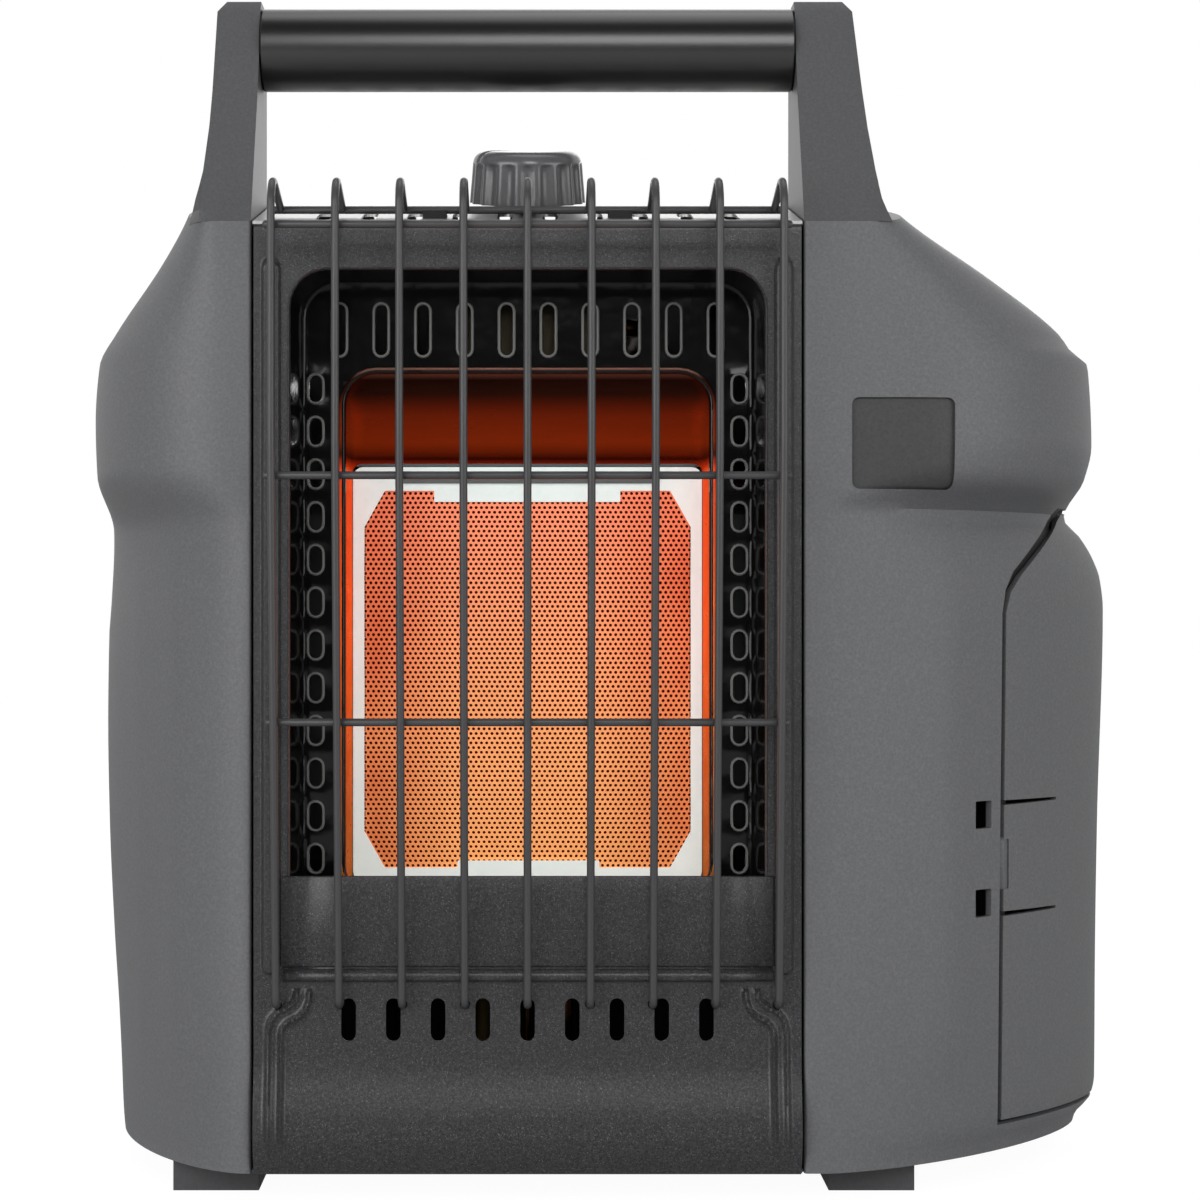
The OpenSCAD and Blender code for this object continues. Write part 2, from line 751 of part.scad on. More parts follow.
module reflector() {
    place() color("#c8a08c") difference() {
        intersection() {
            wedge(mouth_w, sheet, reflector_y, burner_y);
            taper(0);
        }
        intersection() {
            wedge(mouth_w, 0, reflector_y - over, burner_y + over);
            taper(sheet);
        }
        block([-5, pilot_y - 6, 0], [36, pilot_y + 6, mouth_low + over]);
    }
}

module burner_tile() {
    place() color("#f0d8c0") block([-tile_w / 2, tile_y, tile_z - tile_h / 2],
        [tile_w / 2, tile_y + tile_t, tile_z + tile_h / 2]);
}

field_w = 115.3;
field_h = 132.8;
module tile_gasket() {
    place() color("#ece9e2") difference() {
        block([-cavity_w / 2, burner_y, tile_z - cavity_h / 2],
            [cavity_w / 2, tile_y + tile_t, tile_z + cavity_h / 2]);
        block([-tile_w / 2, tile_y, tile_z - tile_h / 2],
            [tile_w / 2, far, tile_z + tile_h / 2]);
        along_y(0, far) translate([0, tile_z - 1.6]) polygon([
            for (s = [[1, 1], [-1, 1], [-1, -1], [1, -1]])
            for (k = s[0] * s[1] > 0 ? [0, 1] : [1, 0])
                [s[0] * (field_w / 2 - 7 * k), s[1] * (field_h / 2 - 12.7 * (1 - k))]]);
    }
}

module tile_clip() {
    place() color("#9b9b98")
        block([-46, burner_y - sheet, tile_z + cavity_h / 2 - 6],
            [46, burner_y, tile_z + cavity_h / 2 - 3.2]);
}

module burner_housing() {
    place() color("#7f8082") difference() {
        block([-housing_w / 2, burner_y, housing_low],
            [housing_w / 2, housing_rear, housing_low + housing_h]);
        block([-cavity_w / 2, 0, tile_z - cavity_h / 2],
            [cavity_w / 2, housing_rear - sheet, tile_z + cavity_h / 2]);
        translate([venturi_x, venturi_y, 0]) rod(venturi_r, 0, tile_z);
    }
}

bracket_y = burner_y + 22;
bracket_low = tile_z - 63;
bracket_high = tile_z + 57;

module burner_brackets() {
    place() color("#8a8b8c") for (s = [-1, 1]) mirror([s < 0 ? 1 : 0, 0, 0]) {
        block([housing_w / 2, bracket_y, bracket_low], [chassis_x, bracket_y + sheet, bracket_high]);
        block([chassis_x - sheet, bracket_y - 10, bracket_low], [chassis_x, bracket_y, bracket_high]);
    }
}

module mixing_tube() {
    place() color("#b0a080") translate([venturi_x, venturi_y, 0]) rotate_extrude() polygon([
        [throat_r, venturi_low + 16], [venturi_r - sheet, venturi_low],
        [venturi_r, venturi_low], [throat_r + sheet, venturi_low + 16],
        [venturi_r, venturi_low + 34], [venturi_r, housing_low + sheet],
        [venturi_r - sheet, housing_low + sheet], [venturi_r - sheet, venturi_low + 34]]);
}

module injector_holder() {
    strap_z = tray_top;
    place() color("#b5a04a") translate([venturi_x, venturi_y, 0]) {
        rod(injector_r, injector_z - 5, venturi_low - 4);
        rod(2, venturi_low - 4, venturi_low + 2);
        translate([0, 0, injector_z]) rod_y(pipe_dia / 2 + 1.5, 0, 10);
        rod(injector_r - 2, strap_z, injector_z);
        rod(injector_r + 3, strap_z, strap_z + 2);
    }
}

// ---------- gas pipes and leads ----------

// Route from a rear port of the valve: back, down and forward again
function rear_route(x, y_drop, z_low) = [
    [y_drop - valve_rear - 4 - bend_r, bend_r, 90, 180],
    [port_z - z_low - 2 * bend_r, bend_r, 90, 0]];

module burner_tube() {
    place() color("#b87333") translate([venturi_x, valve_rear + 4, port_z]) rotate([-90, 0, 0])
        bent([[drop_burner - valve_rear - 4 - bend_r, bend_r, 90, 90],
              [port_z - injector_z - 2 * bend_r, bend_r, 90, 0],
              [drop_burner - bend_r - venturi_y - 10, 0, 0, 0]], pipe_dia);
}

module pilot_tube() {
    low = 47;
    place() color("#b87333") translate([pilot_x, valve_rear + 4, port_z]) rotate([-90, 0, 0])
        bent([[drop_pilot - valve_rear - 4 - bend_r, bend_r, 90, 90],
              [port_z - low - 2 * bend_r, bend_r, 90, 0],
              [drop_pilot - pilot_y - 2 * bend_r, bend_r, 90, 0],
              [pilot_z - low - bend_r, 0, 0, 0]], pilot_dia);
}

module thermocouple_lead() {
    low = 38;
    place() color("#b87333") translate([0, valve_rear + 4, port_z]) rotate([-90, 0, 0])
        bent([[drop_thermo - valve_rear - 4 - bend_r, bend_r, 90, 90],
              [port_z - low - 2 * bend_r, bend_r, 90, 0],
              [drop_thermo - pilot_y - 2 * bend_r, bend_r, 90, 0],
              [pilot_z - low - bend_r, 0, 0, 0]], capillary_dia);
}

module supply_tube() {
    place() color("#b87333") translate([valve_half + 4, (valve_front + valve_rear) / 2, port_z])
        rotate([0, 90, 0])
        bent([[supply_x - valve_half - 4 - bend_r, bend_r, 90, 90],
              [outlet_y - (valve_front + valve_rear) / 2 - 2 * bend_r, bend_r, 90, -90],
              [port_z - outlet_z - 2 * bend_r, bend_r, 90, -90],
              [cylinder_x - regulator_r - 4 - supply_x - bend_r, 0, 0, 0]], pipe_dia);
}

module ignition_lead() {
    low = 55;
    place() color("#1a1a1a") translate([plunger_x, terminal_y, terminal_z]) rotate([-90, 0, 0])
        bent([[drop_lead - terminal_y - bend_r, bend_r, 90, 90],
              [terminal_z - low - 2 * bend_r, bend_r, 90, 90],
              [plunger_x - electrode_x - 2 * bend_r, bend_r, 90, -90],
              [drop_lead - pilot_y - 2 * bend_r, bend_r, 90, 90],
              [pilot_z - low - bend_r, 0, 0, 0]], lead_dia);
}

module pilot_bracket() {
    place() color("#8a8b8c") difference() {
        union() {
            block([-8, pan_d, pilot_plate_z], [34, pilot_y + 8, pilot_plate_z + 1.5]);
            block([-8, pan_d, pilot_plate_z], [34, pan_d + 1.5, opening_low + 4]);
        }
        for (x = [0, pilot_x, electrode_x]) translate([x, pilot_y, 0]) rod(2.6, 0, far);
    }
}

module pilot_burner() {
    place() color("#b5a04a") translate([pilot_x, pilot_y, 0]) {
        rod(2.6, pilot_z, pilot_plate_z + 1.5);
        rod(4.4, pilot_plate_z + 1.5, pilot_plate_z + 22);
        rod(3.2, pilot_plate_z + 22, pilot_plate_z + 30);
        rod(4, pilot_z, pilot_plate_z);
    }
}

module thermocouple() {
    place() color("#b9b3a8") translate([0, pilot_y, 0]) {
        rod(2.6, pilot_z, pilot_plate_z + 1.5);
        rod(1.9, pilot_plate_z + 1.5, pilot_plate_z + 33);
        rod(4, pilot_z, pilot_plate_z);
    }
}

module spark_electrode() {
    place() color("#ece9e2") translate([electrode_x, pilot_y, 0]) {
        rod(2.6, pilot_z, pilot_plate_z + 24);
        rod(3.4, pilot_plate_z + 1.5, pilot_plate_z + 9);
        rod(0.8, pilot_plate_z + 24, pilot_plate_z + 32);
    }
}

// ---------- controls ----------

module gas_valve() {
    place() color("#b5a04a") {
        difference() {
            union() {
                block([-valve_half, valve_front, valve_z], [valve_half, valve_rear, bracket_z]);
                knob_frame() rod(neck_r, neck_low, neck_top);
                for (x = [venturi_x, 0, pilot_x]) translate([x, 0, port_z])
                    rod_y(4.6, valve_rear - 4, valve_rear + 4);
                translate([0, (valve_front + valve_rear) / 2, port_z])
                    rod_x(5.5, valve_half - 4, valve_half + 4);
            }
            knob_frame() rod(stem_dia / 2 + fit_clear, neck_low + 3, 0);
        }
    }
}

module valve_bracket() {
    place() color("#8a8b8c") difference() {
        union() {
            block([-chassis_x, valve_front - 2, bracket_z], [chassis_x, valve_rear + 2, bracket_z + 1.5]);
            for (s = [-1, 1]) translate([s * (chassis_x - 0.75), 0, 0])
                block([-0.75, valve_front - 2, bracket_z - 12], [0.75, valve_rear + 2, bracket_z + 1.5]);
        }
        knob_frame() rod(neck_r + clear / 2, neck_low - 20, 0);
        knob_frame() translate([plunger_x, 0, 0]) rod(igniter_r + clear / 2, igniter_low, 0);
    }
}

module valve_stem() {
    place() color("#c9b25a") knob_frame() {
        rod(stem_dia / 2, neck_low + 3 + push_travel + clear, knob_lift + knob_h - 4);
        rod(stem_dia / 2 + 1.5, collar_top + fit_clear, collar_top + 1.2);
    }
}

// Ring that the knob pushes down, with an arm that reaches over to the igniter
module push_collar() {
    place() color("#8a8b8c") knob_frame() difference() {
        union() {
            rod(collar_r, collar_low, collar_top);
            block([0, -arm_w / 2, collar_low], [plunger_x, arm_w / 2, collar_low + 1.2]);
            translate([plunger_x, 0, 0]) rod(arm_w / 2, collar_low, collar_low + 1.2);
        }
        rod(stem_dia / 2 + fit_clear, -20, 20);
    }
}

module valve_spring() {
    place() color("#c0c0c0") knob_frame() difference() {
        rod(5, neck_top, collar_low);
        rod(4, neck_top - over, collar_low + over);
    }
}

module igniter_plunger() {
    place() color("#e4e2da") knob_frame() translate([plunger_x, 0, 0])
        rod(plunger_r, igniter_top - 8, collar_low);
}

module piezo_igniter() {
    place() color("#26272a") difference() {
        union() {
            knob_frame() translate([plunger_x, 0, 0]) rod(igniter_r, igniter_low, igniter_top);
            translate([plunger_x, 0, terminal_z]) rod_y(2.4, 48, terminal_y);
        }
        knob_frame() translate([plunger_x, 0, 0])
            rod(plunger_r + fit_clear, igniter_top - 8 - push_travel - clear, far);
    }
}

// Fluted knob with a bevelled rim and a pointer groove
module control_knob() {
    flutes = 24;
    r = knob_dia / 2;
    place() color("#4a4a4d") knob_frame() difference() {
        intersection() {
            rotate_extrude() polygon([
                [0, knob_lift], [r + 1, knob_lift], [r - 0.6, knob_lift + knob_h - 2],
                [r - 2.6, knob_lift + knob_h], [0, knob_lift + knob_h]]);
            linear_extrude(knob_lift + knob_h + over) difference() {
                circle(r);
                for (i = [0:flutes - 1]) rotate(i * 360 / flutes) translate([r + 0.9, 0]) circle(1.6);
            }
        }
        rotate_extrude() translate([collar_r + 1.5, knob_lift - over])
            square([r - collar_r - 4, 8 + over]);
        rod(stem_dia / 2, 0, knob_lift + knob_h - 4);
        block([-0.8, -r, knob_lift + knob_h - 0.8], [0.8, -r / 2, knob_lift + knob_h + over]);
    }
}

// ---------- guard ----------

wire_half = (wire_count - 1) / 2;
wire_index = [-wire_half:wire_half];
wire_bottom_y = 4;
bottom_bend = 3;
knee_z = 250;
guard_lean = atan((guard_out - wire_bottom_y) / (knee_z - wire_hole_z));
knee_r = 60;
tip_r = 9;
tip_z = roof_front + 3.5;
clip_y = 13;
clip_lift = wire_dia / 2 + clear;
clip_screw = 6.4;
clip_x = 30.9;
guard_rear_y = clip_y - clip_lift * sin(roof_angle);
guard_rear_z = roof_front + clip_y * tan(roof_angle) + clip_lift * cos(roof_angle);
wire_stub = 4;

// The tip bends until its leg points at the rear cross wire
leg_y = guard_rear_y + guard_out - tip_r;
leg_z = tip_z - guard_rear_z;
leg_reach = norm([leg_y, leg_z]);
tip_turn = 90 + asin(tip_r / leg_reach) + atan(leg_z / leg_y);
leg_l = sqrt(leg_reach * leg_reach - tip_r * tip_r);

bend_in = 90 - guard_lean;
lower_run = (knee_z - wire_hole_z) / cos(guard_lean) - bottom_bend - knee_r * tan(guard_lean / 2);
upper_run = tip_z - wire_hole_z - bottom_bend * (1 - cos(bend_in))
    - lower_run * cos(guard_lean) - knee_r * sin(guard_lean);
stub_run = wire_stub + guard_out - bottom_bend * sin(bend_in)
    - lower_run * sin(guard_lean) - knee_r * (1 - cos(guard_lean));

// Foot of the leaning part of a wire, after its bottom bend
lean_y = wire_stub - stub_run - bottom_bend * sin(bend_in);
lean_z = wire_hole_z + bottom_bend * (1 - cos(bend_in));

// Depth of a cross wire's axis at a height, where it touches the upright wires from behind
function cross_y(z) = z > knee_z ? wire_dia - guard_out :
    lean_y - (z - lean_z) * tan(guard_lean) + wire_dia / cos(guard_lean);

module guard_wires() {
    place() color("#56575a")
        for (i = wire_index) translate([i * wire_pitch, wire_stub, wire_hole_z]) rotate([90, 0, 0])
            bent([[stub_run, bottom_bend, bend_in, 90],
                  [lower_run, knee_r, guard_lean, 0],
                  [upper_run, tip_r, tip_turn, 0],
                  [leg_l - wire_dia / 2, 0, 0, 0]], wire_dia, wire_dia + 0.06);
}

module guard_cross_wires() {
    cross = wire_half * wire_pitch + wire_dia;
    place() color("#56575a") {
        for (z = [159.5, 239.5, 320.3]) translate([0, cross_y(z), z]) rod_x(wire_dia / 2, -cross, cross);
        translate([0, guard_rear_y, guard_rear_z]) rod_x(wire_dia / 2, -cross, cross);
    }
}

// Frame of a clip on the sloping roof, at the rear cross wire
module clip_frame(x) {
    translate([x, clip_y, roof_front + clip_y * tan(roof_angle)])
        rotate([roof_angle, 0, 0]) children();
}

module guard_clips() {
    hump = wire_dia + clear;
    place() color("#b9b9b6") for (s = [-1, 1]) clip_frame(s * clip_x) difference() {
        union() {
            block([-4, -3.2, 0], [4, 10, sheet]);
            block([-4, -3.2, 0], [4, 3.2, hump + 1.4]);
        }
        translate([0, 0, clip_lift]) rod_x(clip_lift, -10, 10);
        block([-10, -clip_lift, -over], [10, clip_lift, clip_lift]);
        translate([0, clip_screw, 0]) rod(screw_r + clear / 2, -over, far);
    }
}

module guard_screws() {
    place() color("#a9a9a6") for (s = [-1, 1]) clip_frame(s * clip_x)
        translate([0, clip_screw, 0]) {
            rod(3, sheet, sheet + 1.8);
            rod(screw_r, -5, sheet);
        }
}

// ---------- handle ----------

// Side view of an upright in Y and Z
module upright_side() {
    polygon([
        [0, 0], [0, roof_front], [22, handle_top - 33], [upright_lean, handle_top - 4],
        [upright_lean + 3, handle_top], [upright_rear - 4, handle_top],
        [upright_rear, handle_top - 5], [upright_rear, 0]]);
}

// Upright of thickness w at its top, with a foot that flares outwards by flare
module upright(w, flare) {
    out = shell_x + w;
    difference() {
        intersection() {
            along_y(0, upright_rear) polygon([
                [shell_x, 0], [shell_x, handle_top], [out - 3, handle_top],
                [out, handle_top - 4], [out + flare * 0.25, handle_top - 46],
                [out + flare * 0.45, handle_top - 62], [out + flare * 0.7, roof_front + 8],
                [out + flare, roof_front], [out + flare, 0]]);
            along_x(0, far) upright_side();
        }
        under_roof(0, 0, far);
        translate([0, grip_y, grip_z]) {
            rod_x(rod_dia / 2 + fit_clear, 0, shell_x + bore_in);
            rod_x(bolt_r + clear / 2, 0, far);
            rod_x(bolt_head_r + clear, out - 3, far);
        }
    }
}

module handle_upright_left() {
    place() color("#58595b") mirror([1, 0, 0]) upright(upright_left_w, 6);
}

module handle_upright_right() {
    place() color("#58595b") upright(upright_right_w, 8);
}

module grip_tube() {
    place() color("#3a3a3b") translate([0, grip_y, grip_z]) difference() {
        rod_x(grip_dia / 2, -shell_x, shell_x);
        rod_x(rod_dia / 2 + fit_clear, -shell_x - over, shell_x + over);
    }
}

module handle_rod() {
    reach = shell_x + bore_in - 0.5;
    place() color("#a9a9a6") translate([0, grip_y, grip_z]) difference() {
        rod_x(rod_dia / 2, -reach, reach);
        for (s = [-1, 1]) translate([s * reach, 0, 0]) rod_x(bolt_r, -12, 12);
    }
}

module handle_bolts() {
    place() color("#8d8d8a") translate([0, grip_y, grip_z])
        for (s = [[-1, upright_left_w], [1, upright_right_w]])
            mirror([s[0] < 0 ? 1 : 0, 0, 0]) {
                seat = shell_x + s[1] - 3;
                rod_x(bolt_r, shell_x + bore_in - 12, seat);
                rod_x(bolt_head_r, seat, seat + 2.4);
            }
}

// ---------- fuel bay ----------

module at_cylinder() { translate([cylinder_x, cylinder_y, 0]) children(); }

module regulator_bracket() {
    half = regulator_r - 3;
    place() color("#8a8b8c") {
        difference() {
            block([wing_x, cylinder_y - half, plate_z],
                [cylinder_x + regulator_r, cylinder_y + half, plate_z + plate_t]);
            at_cylinder() rod(socket_r, 0, far);
        }
        difference() {
            block([wing_x, cylinder_y - half, plate_z + plate_t],
                [wing_x + plate_t, cylinder_y + half, plate_z + regulator_h + bonnet_h]);
            translate([0, outlet_y, outlet_z]) rod_x(pipe_dia / 2 + clear, 0, far);
        }
    }
}

module cylinder_socket() {
    place() color("#b5a04a") at_cylinder() difference() {
        union() {
            rod(socket_r, socket_z, regulator_low);
            rod(socket_r + 4, plate_z - 3, plate_z);
        }
        rod(socket_bore / 2, socket_z - over, socket_z + socket_depth);
        rod(socket_bore / 2 + 2, socket_z + socket_depth, socket_z + socket_depth + 2.4);
        rod(3, 0, far);
    }
}

module socket_seal() {
    place() color("#1c1c1c") at_cylinder() difference() {
        rod(socket_bore / 2 + 2, socket_z + socket_depth, socket_z + socket_depth + 2.4);
        rod(socket_bore / 2 - 2, 0, far);
    }
}

module regulator_body() {
    place() color("#9b9c9e") {
        at_cylinder() difference() {
            rod(regulator_r, regulator_low, regulator_low + regulator_h);
            rod(3, 0, regulator_low + 8);
        }
        translate([0, outlet_y, outlet_z])
            rod_x(5.5, cylinder_x - regulator_r - 4, cylinder_x - regulator_r + 8);
    }
}

module regulator_bonnet() {
    low = regulator_low + regulator_h;
    place() color("#8f9092") at_cylinder() {
        rod(regulator_r + 3, low, low + 3);
        rod(regulator_r - 8, low + 3, low + bonnet_h);
    }
}

cradle_half = cylinder_dia * 0.4;
cradle_z = cylinder_foot + 62;

module cylinder_cradle() {
    place() color("#4a4b4d") difference() {
        union() {
            block([wing_x, cylinder_y - cradle_half, cradle_z],
                [cylinder_x - cradle_half / 2, cylinder_y + cradle_half, cradle_z + 3]);
            block([wing_x, cylinder_y - cradle_half, cradle_z - 6],
                [wing_x + 2, cylinder_y + cradle_half, cradle_z]);
        }
        at_cylinder() rod(cradle_r, 0, far);
    }
}

base_tray();
feet();
foot_screws();
chassis_side_left();
chassis_side_right();
left_shell();
right_shell();
rear_cover();
rear_screws();
front_panel();
lip_plate();
top_plate();
enamel_pan();
reflector();
burner_tile();
tile_gasket();
tile_clip();
burner_housing();
burner_brackets();
mixing_tube();
injector_holder();
burner_tube();
pilot_bracket();
pilot_burner();
thermocouple();
spark_electrode();
pilot_tube();
thermocouple_lead();
ignition_lead();
piezo_igniter();
igniter_plunger();
push_collar();
valve_spring();
gas_valve();
valve_stem();
control_knob();
valve_bracket();
guard_wires();
guard_cross_wires();
guard_clips();
guard_screws();
handle_upright_left();
handle_upright_right();
grip_tube();
handle_rod();
handle_bolts();
regulator_body();
regulator_bonnet();
cylinder_socket();
socket_seal();
regulator_bracket();
supply_tube();
cylinder_cradle();
fuel_door();
door_hinge_pins();
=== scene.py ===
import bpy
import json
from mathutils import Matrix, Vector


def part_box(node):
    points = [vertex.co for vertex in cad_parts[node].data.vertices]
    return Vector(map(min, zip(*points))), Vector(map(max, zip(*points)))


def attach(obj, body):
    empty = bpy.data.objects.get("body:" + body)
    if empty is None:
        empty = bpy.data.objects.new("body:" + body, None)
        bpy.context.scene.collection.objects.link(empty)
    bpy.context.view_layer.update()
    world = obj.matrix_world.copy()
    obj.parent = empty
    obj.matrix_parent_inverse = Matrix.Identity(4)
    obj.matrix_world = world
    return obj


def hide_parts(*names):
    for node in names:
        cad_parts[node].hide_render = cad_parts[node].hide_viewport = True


bl_info = {
    "name": "Portable Propane Heater",
    "version": (1, 0, 0),
    "blender": (4, 5, 0),
    "location": "View3D > Sidebar > Heater",
    "description": "Builds a portable radiant propane heater around its construction model",
    "category": "Add Mesh",
}

import json
import math

import bmesh
import bpy
from mathutils import Matrix, Vector

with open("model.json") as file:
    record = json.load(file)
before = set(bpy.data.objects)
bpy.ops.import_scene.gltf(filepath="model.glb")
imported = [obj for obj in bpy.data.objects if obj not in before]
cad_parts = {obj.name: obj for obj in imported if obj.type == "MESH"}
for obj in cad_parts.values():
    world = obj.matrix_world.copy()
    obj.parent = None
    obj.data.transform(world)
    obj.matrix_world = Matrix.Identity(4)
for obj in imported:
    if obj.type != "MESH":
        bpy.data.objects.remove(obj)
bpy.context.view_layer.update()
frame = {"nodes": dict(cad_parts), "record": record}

# ---------- places ----------
# Workshop coordinates are millimetres: x from the middle of the front panel, y back from its
# face, z up.

MM = 0.001
PANEL_LOW, PANEL_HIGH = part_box("front_panel")
FRONT_X = (PANEL_LOW.x + PANEL_HIGH.x) / 2
PANEL_HALF = (PANEL_HIGH.x - PANEL_LOW.x) / 2 / MM
BODY_DEPTH = 184.0
PANEL_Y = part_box("rear_cover")[1].y - BODY_DEPTH * MM
SEAM = 0.6
SHELL_X = PANEL_HALF + SEAM
BASE_Z = 10.5
ROOF_FRONT_Z = 324.0
ROOF_RIDGE_Z = 338.2
ROOF_RISE_Y = 60.0
ROOF_FALL_Y = 154.0
ROOF_FALL = 12.0
PLACE = Matrix.Translation((FRONT_X, PANEL_Y, 0)) @ Matrix.Scale(MM, 4)
UNPLACE = PLACE.inverted()
ROOF_TILT = math.atan2(ROOF_RIDGE_Z - ROOF_FRONT_Z, ROOF_RISE_Y)


def spot(x, y, z):
    """A workshop point in the scene's metres."""
    return PLACE @ Vector((x, y, z))


def roof_height(y):
    """Height of the roof's top face at a depth."""
    rise = ROOF_FRONT_Z + (ROOF_RIDGE_Z - ROOF_FRONT_Z) * y / ROOF_RISE_Y
    fall = ROOF_RIDGE_Z - ROOF_FALL * (y - ROOF_FALL_Y) / (BODY_DEPTH - ROOF_FALL_Y)
    return min(rise, ROOF_RIDGE_Z, fall)


def slot_colour(slot):
    """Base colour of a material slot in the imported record."""
    for row in frame["record"]["materials"]:
        if row["slot"] == slot:
            return tuple(row["base_color"])
    raise RuntimeError("the record has no material slot " + slot)


# ---------- settings ----------

class HeaterSizes(bpy.types.PropertyGroup):
    """Sizes of the visible pieces"""
    shell_wall: bpy.props.FloatProperty(
        name="Shell wall", description="Thickness of the side shells and the fuel door",
        default=0.0025, min=0.0015, max=0.004, unit="LENGTH", precision=4)
    door_gap: bpy.props.FloatProperty(
        name="Door gap", description="Gap between the fuel door and the right shell",
        default=0.0010, min=0.0005, max=0.0015, unit="LENGTH", precision=4)
    badge_depth: bpy.props.FloatProperty(
        name="Badge depth", description="Depth of the empty badge recess",
        default=0.0014, min=0.0003, max=0.0015, unit="LENGTH", precision=4)
    sheet: bpy.props.FloatProperty(
        name="Sheet steel", description="Thickness of the sheet steel pieces",
        default=0.0010, min=0.0006, max=0.0015, unit="LENGTH", precision=4)
    wire: bpy.props.FloatProperty(
        name="Guard wire", description="Diameter of the guard's wires",
        default=0.0026, min=0.002, max=0.003, unit="LENGTH", precision=4)
    hole_pitch: bpy.props.FloatProperty(
        name="Hole pitch", description="Distance between the burner's holes in a row",
        default=0.001855, min=0.0018, max=0.003, unit="LENGTH", precision=5)


class HeaterColours(bpy.types.PropertyGroup):
    """Colours of the finishes that are seen first"""
    shell: bpy.props.FloatVectorProperty(
        name="Shells", description="Moulded plastic of the side shells",
        default=slot_colour("shell_plastic"), size=3, min=0, max=1, subtype="COLOR")
    upright: bpy.props.FloatVectorProperty(
        name="Handle uprights", description="Moulded plastic of the uprights",
        default=slot_colour("upright_plastic"), size=3, min=0, max=1, subtype="COLOR")
    powder: bpy.props.FloatVectorProperty(
        name="Powder coat", description="Front panel and lip plate",
        default=slot_colour("powder_coat"), size=3, min=0, max=1, subtype="COLOR")
    glow_top: bpy.props.FloatVectorProperty(
        name="Glow, top", description="Burner face at its upper edge",
        default=(1.0, 0.30, 0.17), size=3, min=0, max=1, subtype="COLOR")
    glow_low: bpy.props.FloatVectorProperty(
        name="Glow, bottom", description="Burner face at its lower edge",
        default=(1.0, 0.47, 0.17), size=3, min=0, max=1, subtype="COLOR")


# ---------- mesh tools ----------

SPARE = 0.05
CUT_REACH = 1e-4
FLAT_ANGLE = 0.6
BEHIND = Vector((0, 900, 170))


def extruded(bm, edges):
    """Extrudes edges in place; returns the new vertices and the new edges between them."""
    made = bmesh.ops.extrude_edge_only(bm, edges=edges)["geom"]
    verts = only_verts(made)
    among = set(verts)
    return verts, [e for e in made if isinstance(e, bmesh.types.BMEdge)
                   and e.verts[0] in among and e.verts[1] in among]


def only_verts(geom):
    """The vertices among mesh elements."""
    return [v for v in geom if isinstance(v, bmesh.types.BMVert)]


def everything(bm):
    """All vertices, edges and faces of a mesh."""
    return bm.verts[:] + bm.edges[:] + bm.faces[:]


def with_rims(faces):
    """Faces together with their edges and vertices."""
    geom = set(faces)
    for face in faces:
        geom.update(face.edges)
        geom.update(face.verts)
    return list(geom)


def keep_only(bm, faces):
    """Deletes all other faces."""
    kept = set(faces)
    bmesh.ops.delete(bm, geom=[f for f in bm.faces if f not in kept], context="FACES")


def soften(bm, edges, offset, segments):
    """Rounds edges."""
    bmesh.ops.bevel(bm, geom=edges, offset=offset, offset_type="OFFSET", segments=segments,
                    profile=0.5, affect="EDGES", clamp_overlap=True, material=-1)


def add_mesh(bm, part):
    """Adds a finished part to a mesh and frees it."""
    mesh = bpy.data.meshes.new("part")
    part.to_mesh(mesh)
    part.free()
    bm.from_mesh(mesh)
    bpy.data.meshes.remove(mesh)


def loft(bm, rings, closed=False):
    """Extrudes the first ring through the other rings' points; returns the last ring."""
    verts = [bm.verts.new(p) for p in rings[0]]
    edges = [bm.edges.new(pair) for pair in zip(verts, verts[1:])]
    if closed:
        edges.append(bm.edges.new((verts[-1], verts[0])))
    for points in rings[1:]:
        made, edges = extruded(bm, edges)
        fresh = {tuple(v.co): v for v in made}
        verts = [fresh[tuple(v.co)] for v in verts]
        for vert, point in zip(verts, points):
            vert.co = point
    return verts, edges


def grow(bm, edges, steps):
    """Extrudes a rim step by step; each step is a function that gives a point its new place."""
    for step in steps:
        verts, edges = extruded(bm, edges)
        for vert in verts:
            vert.co = step(vert.co)
    return edges


def span(outline):
    """Box of X and Z around an outline, with a little to spare."""
    xs = [p[0] for p in outline]
    zs = [p[1] for p in outline]
    return min(xs) - SPARE, max(xs) + SPARE, min(zs) - SPARE, max(zs) + SPARE


def meets(face, box):
    """Whether a face reaches into a box of X and Z."""
    xs = [v.co.x for v in face.verts]
    zs = [v.co.z for v in face.verts]
    return max(xs) > box[0] and min(xs) < box[1] and max(zs) > box[2] and min(zs) < box[3]


def inside(outline, x, z):
    """Whether a point lies in a convex outline."""
    turns = [(q[0] - p[0]) * (z - p[1]) - (q[1] - p[1]) * (x - p[0])
             for p, q in zip(outline, outline[1:] + outline[:1])]
    return all(t > 0 for t in turns) or all(t < 0 for t in turns)


def score(bm, outline, keep=None):
    """Cuts the faces along a convex outline in X and Z and returns the faces inside it."""
    faces = [f for f in bm.faces if meets(f, span(outline)) and (keep is None or keep(f))]
    for p, q in zip(outline, outline[1:] + outline[:1]):
        box = span((p, q))
        near = [f for f in faces if f.is_valid and meets(f, box)]
        if not near:
            continue
        cut = bmesh.ops.bisect_plane(
            bm, geom=with_rims(near), dist=CUT_REACH, plane_co=(p[0], 0, p[1]),
            plane_no=(q[1] - p[1], 0, p[0] - q[0]))
        known = set(faces)
        faces += [f for f in cut["geom"] if isinstance(f, bmesh.types.BMFace) and f not in known]
    found = []
    for face in faces:
        if face.is_valid:
            middle = face.calc_center_median()
            if inside(outline, middle.x, middle.z):
                found.append(face)
    return found


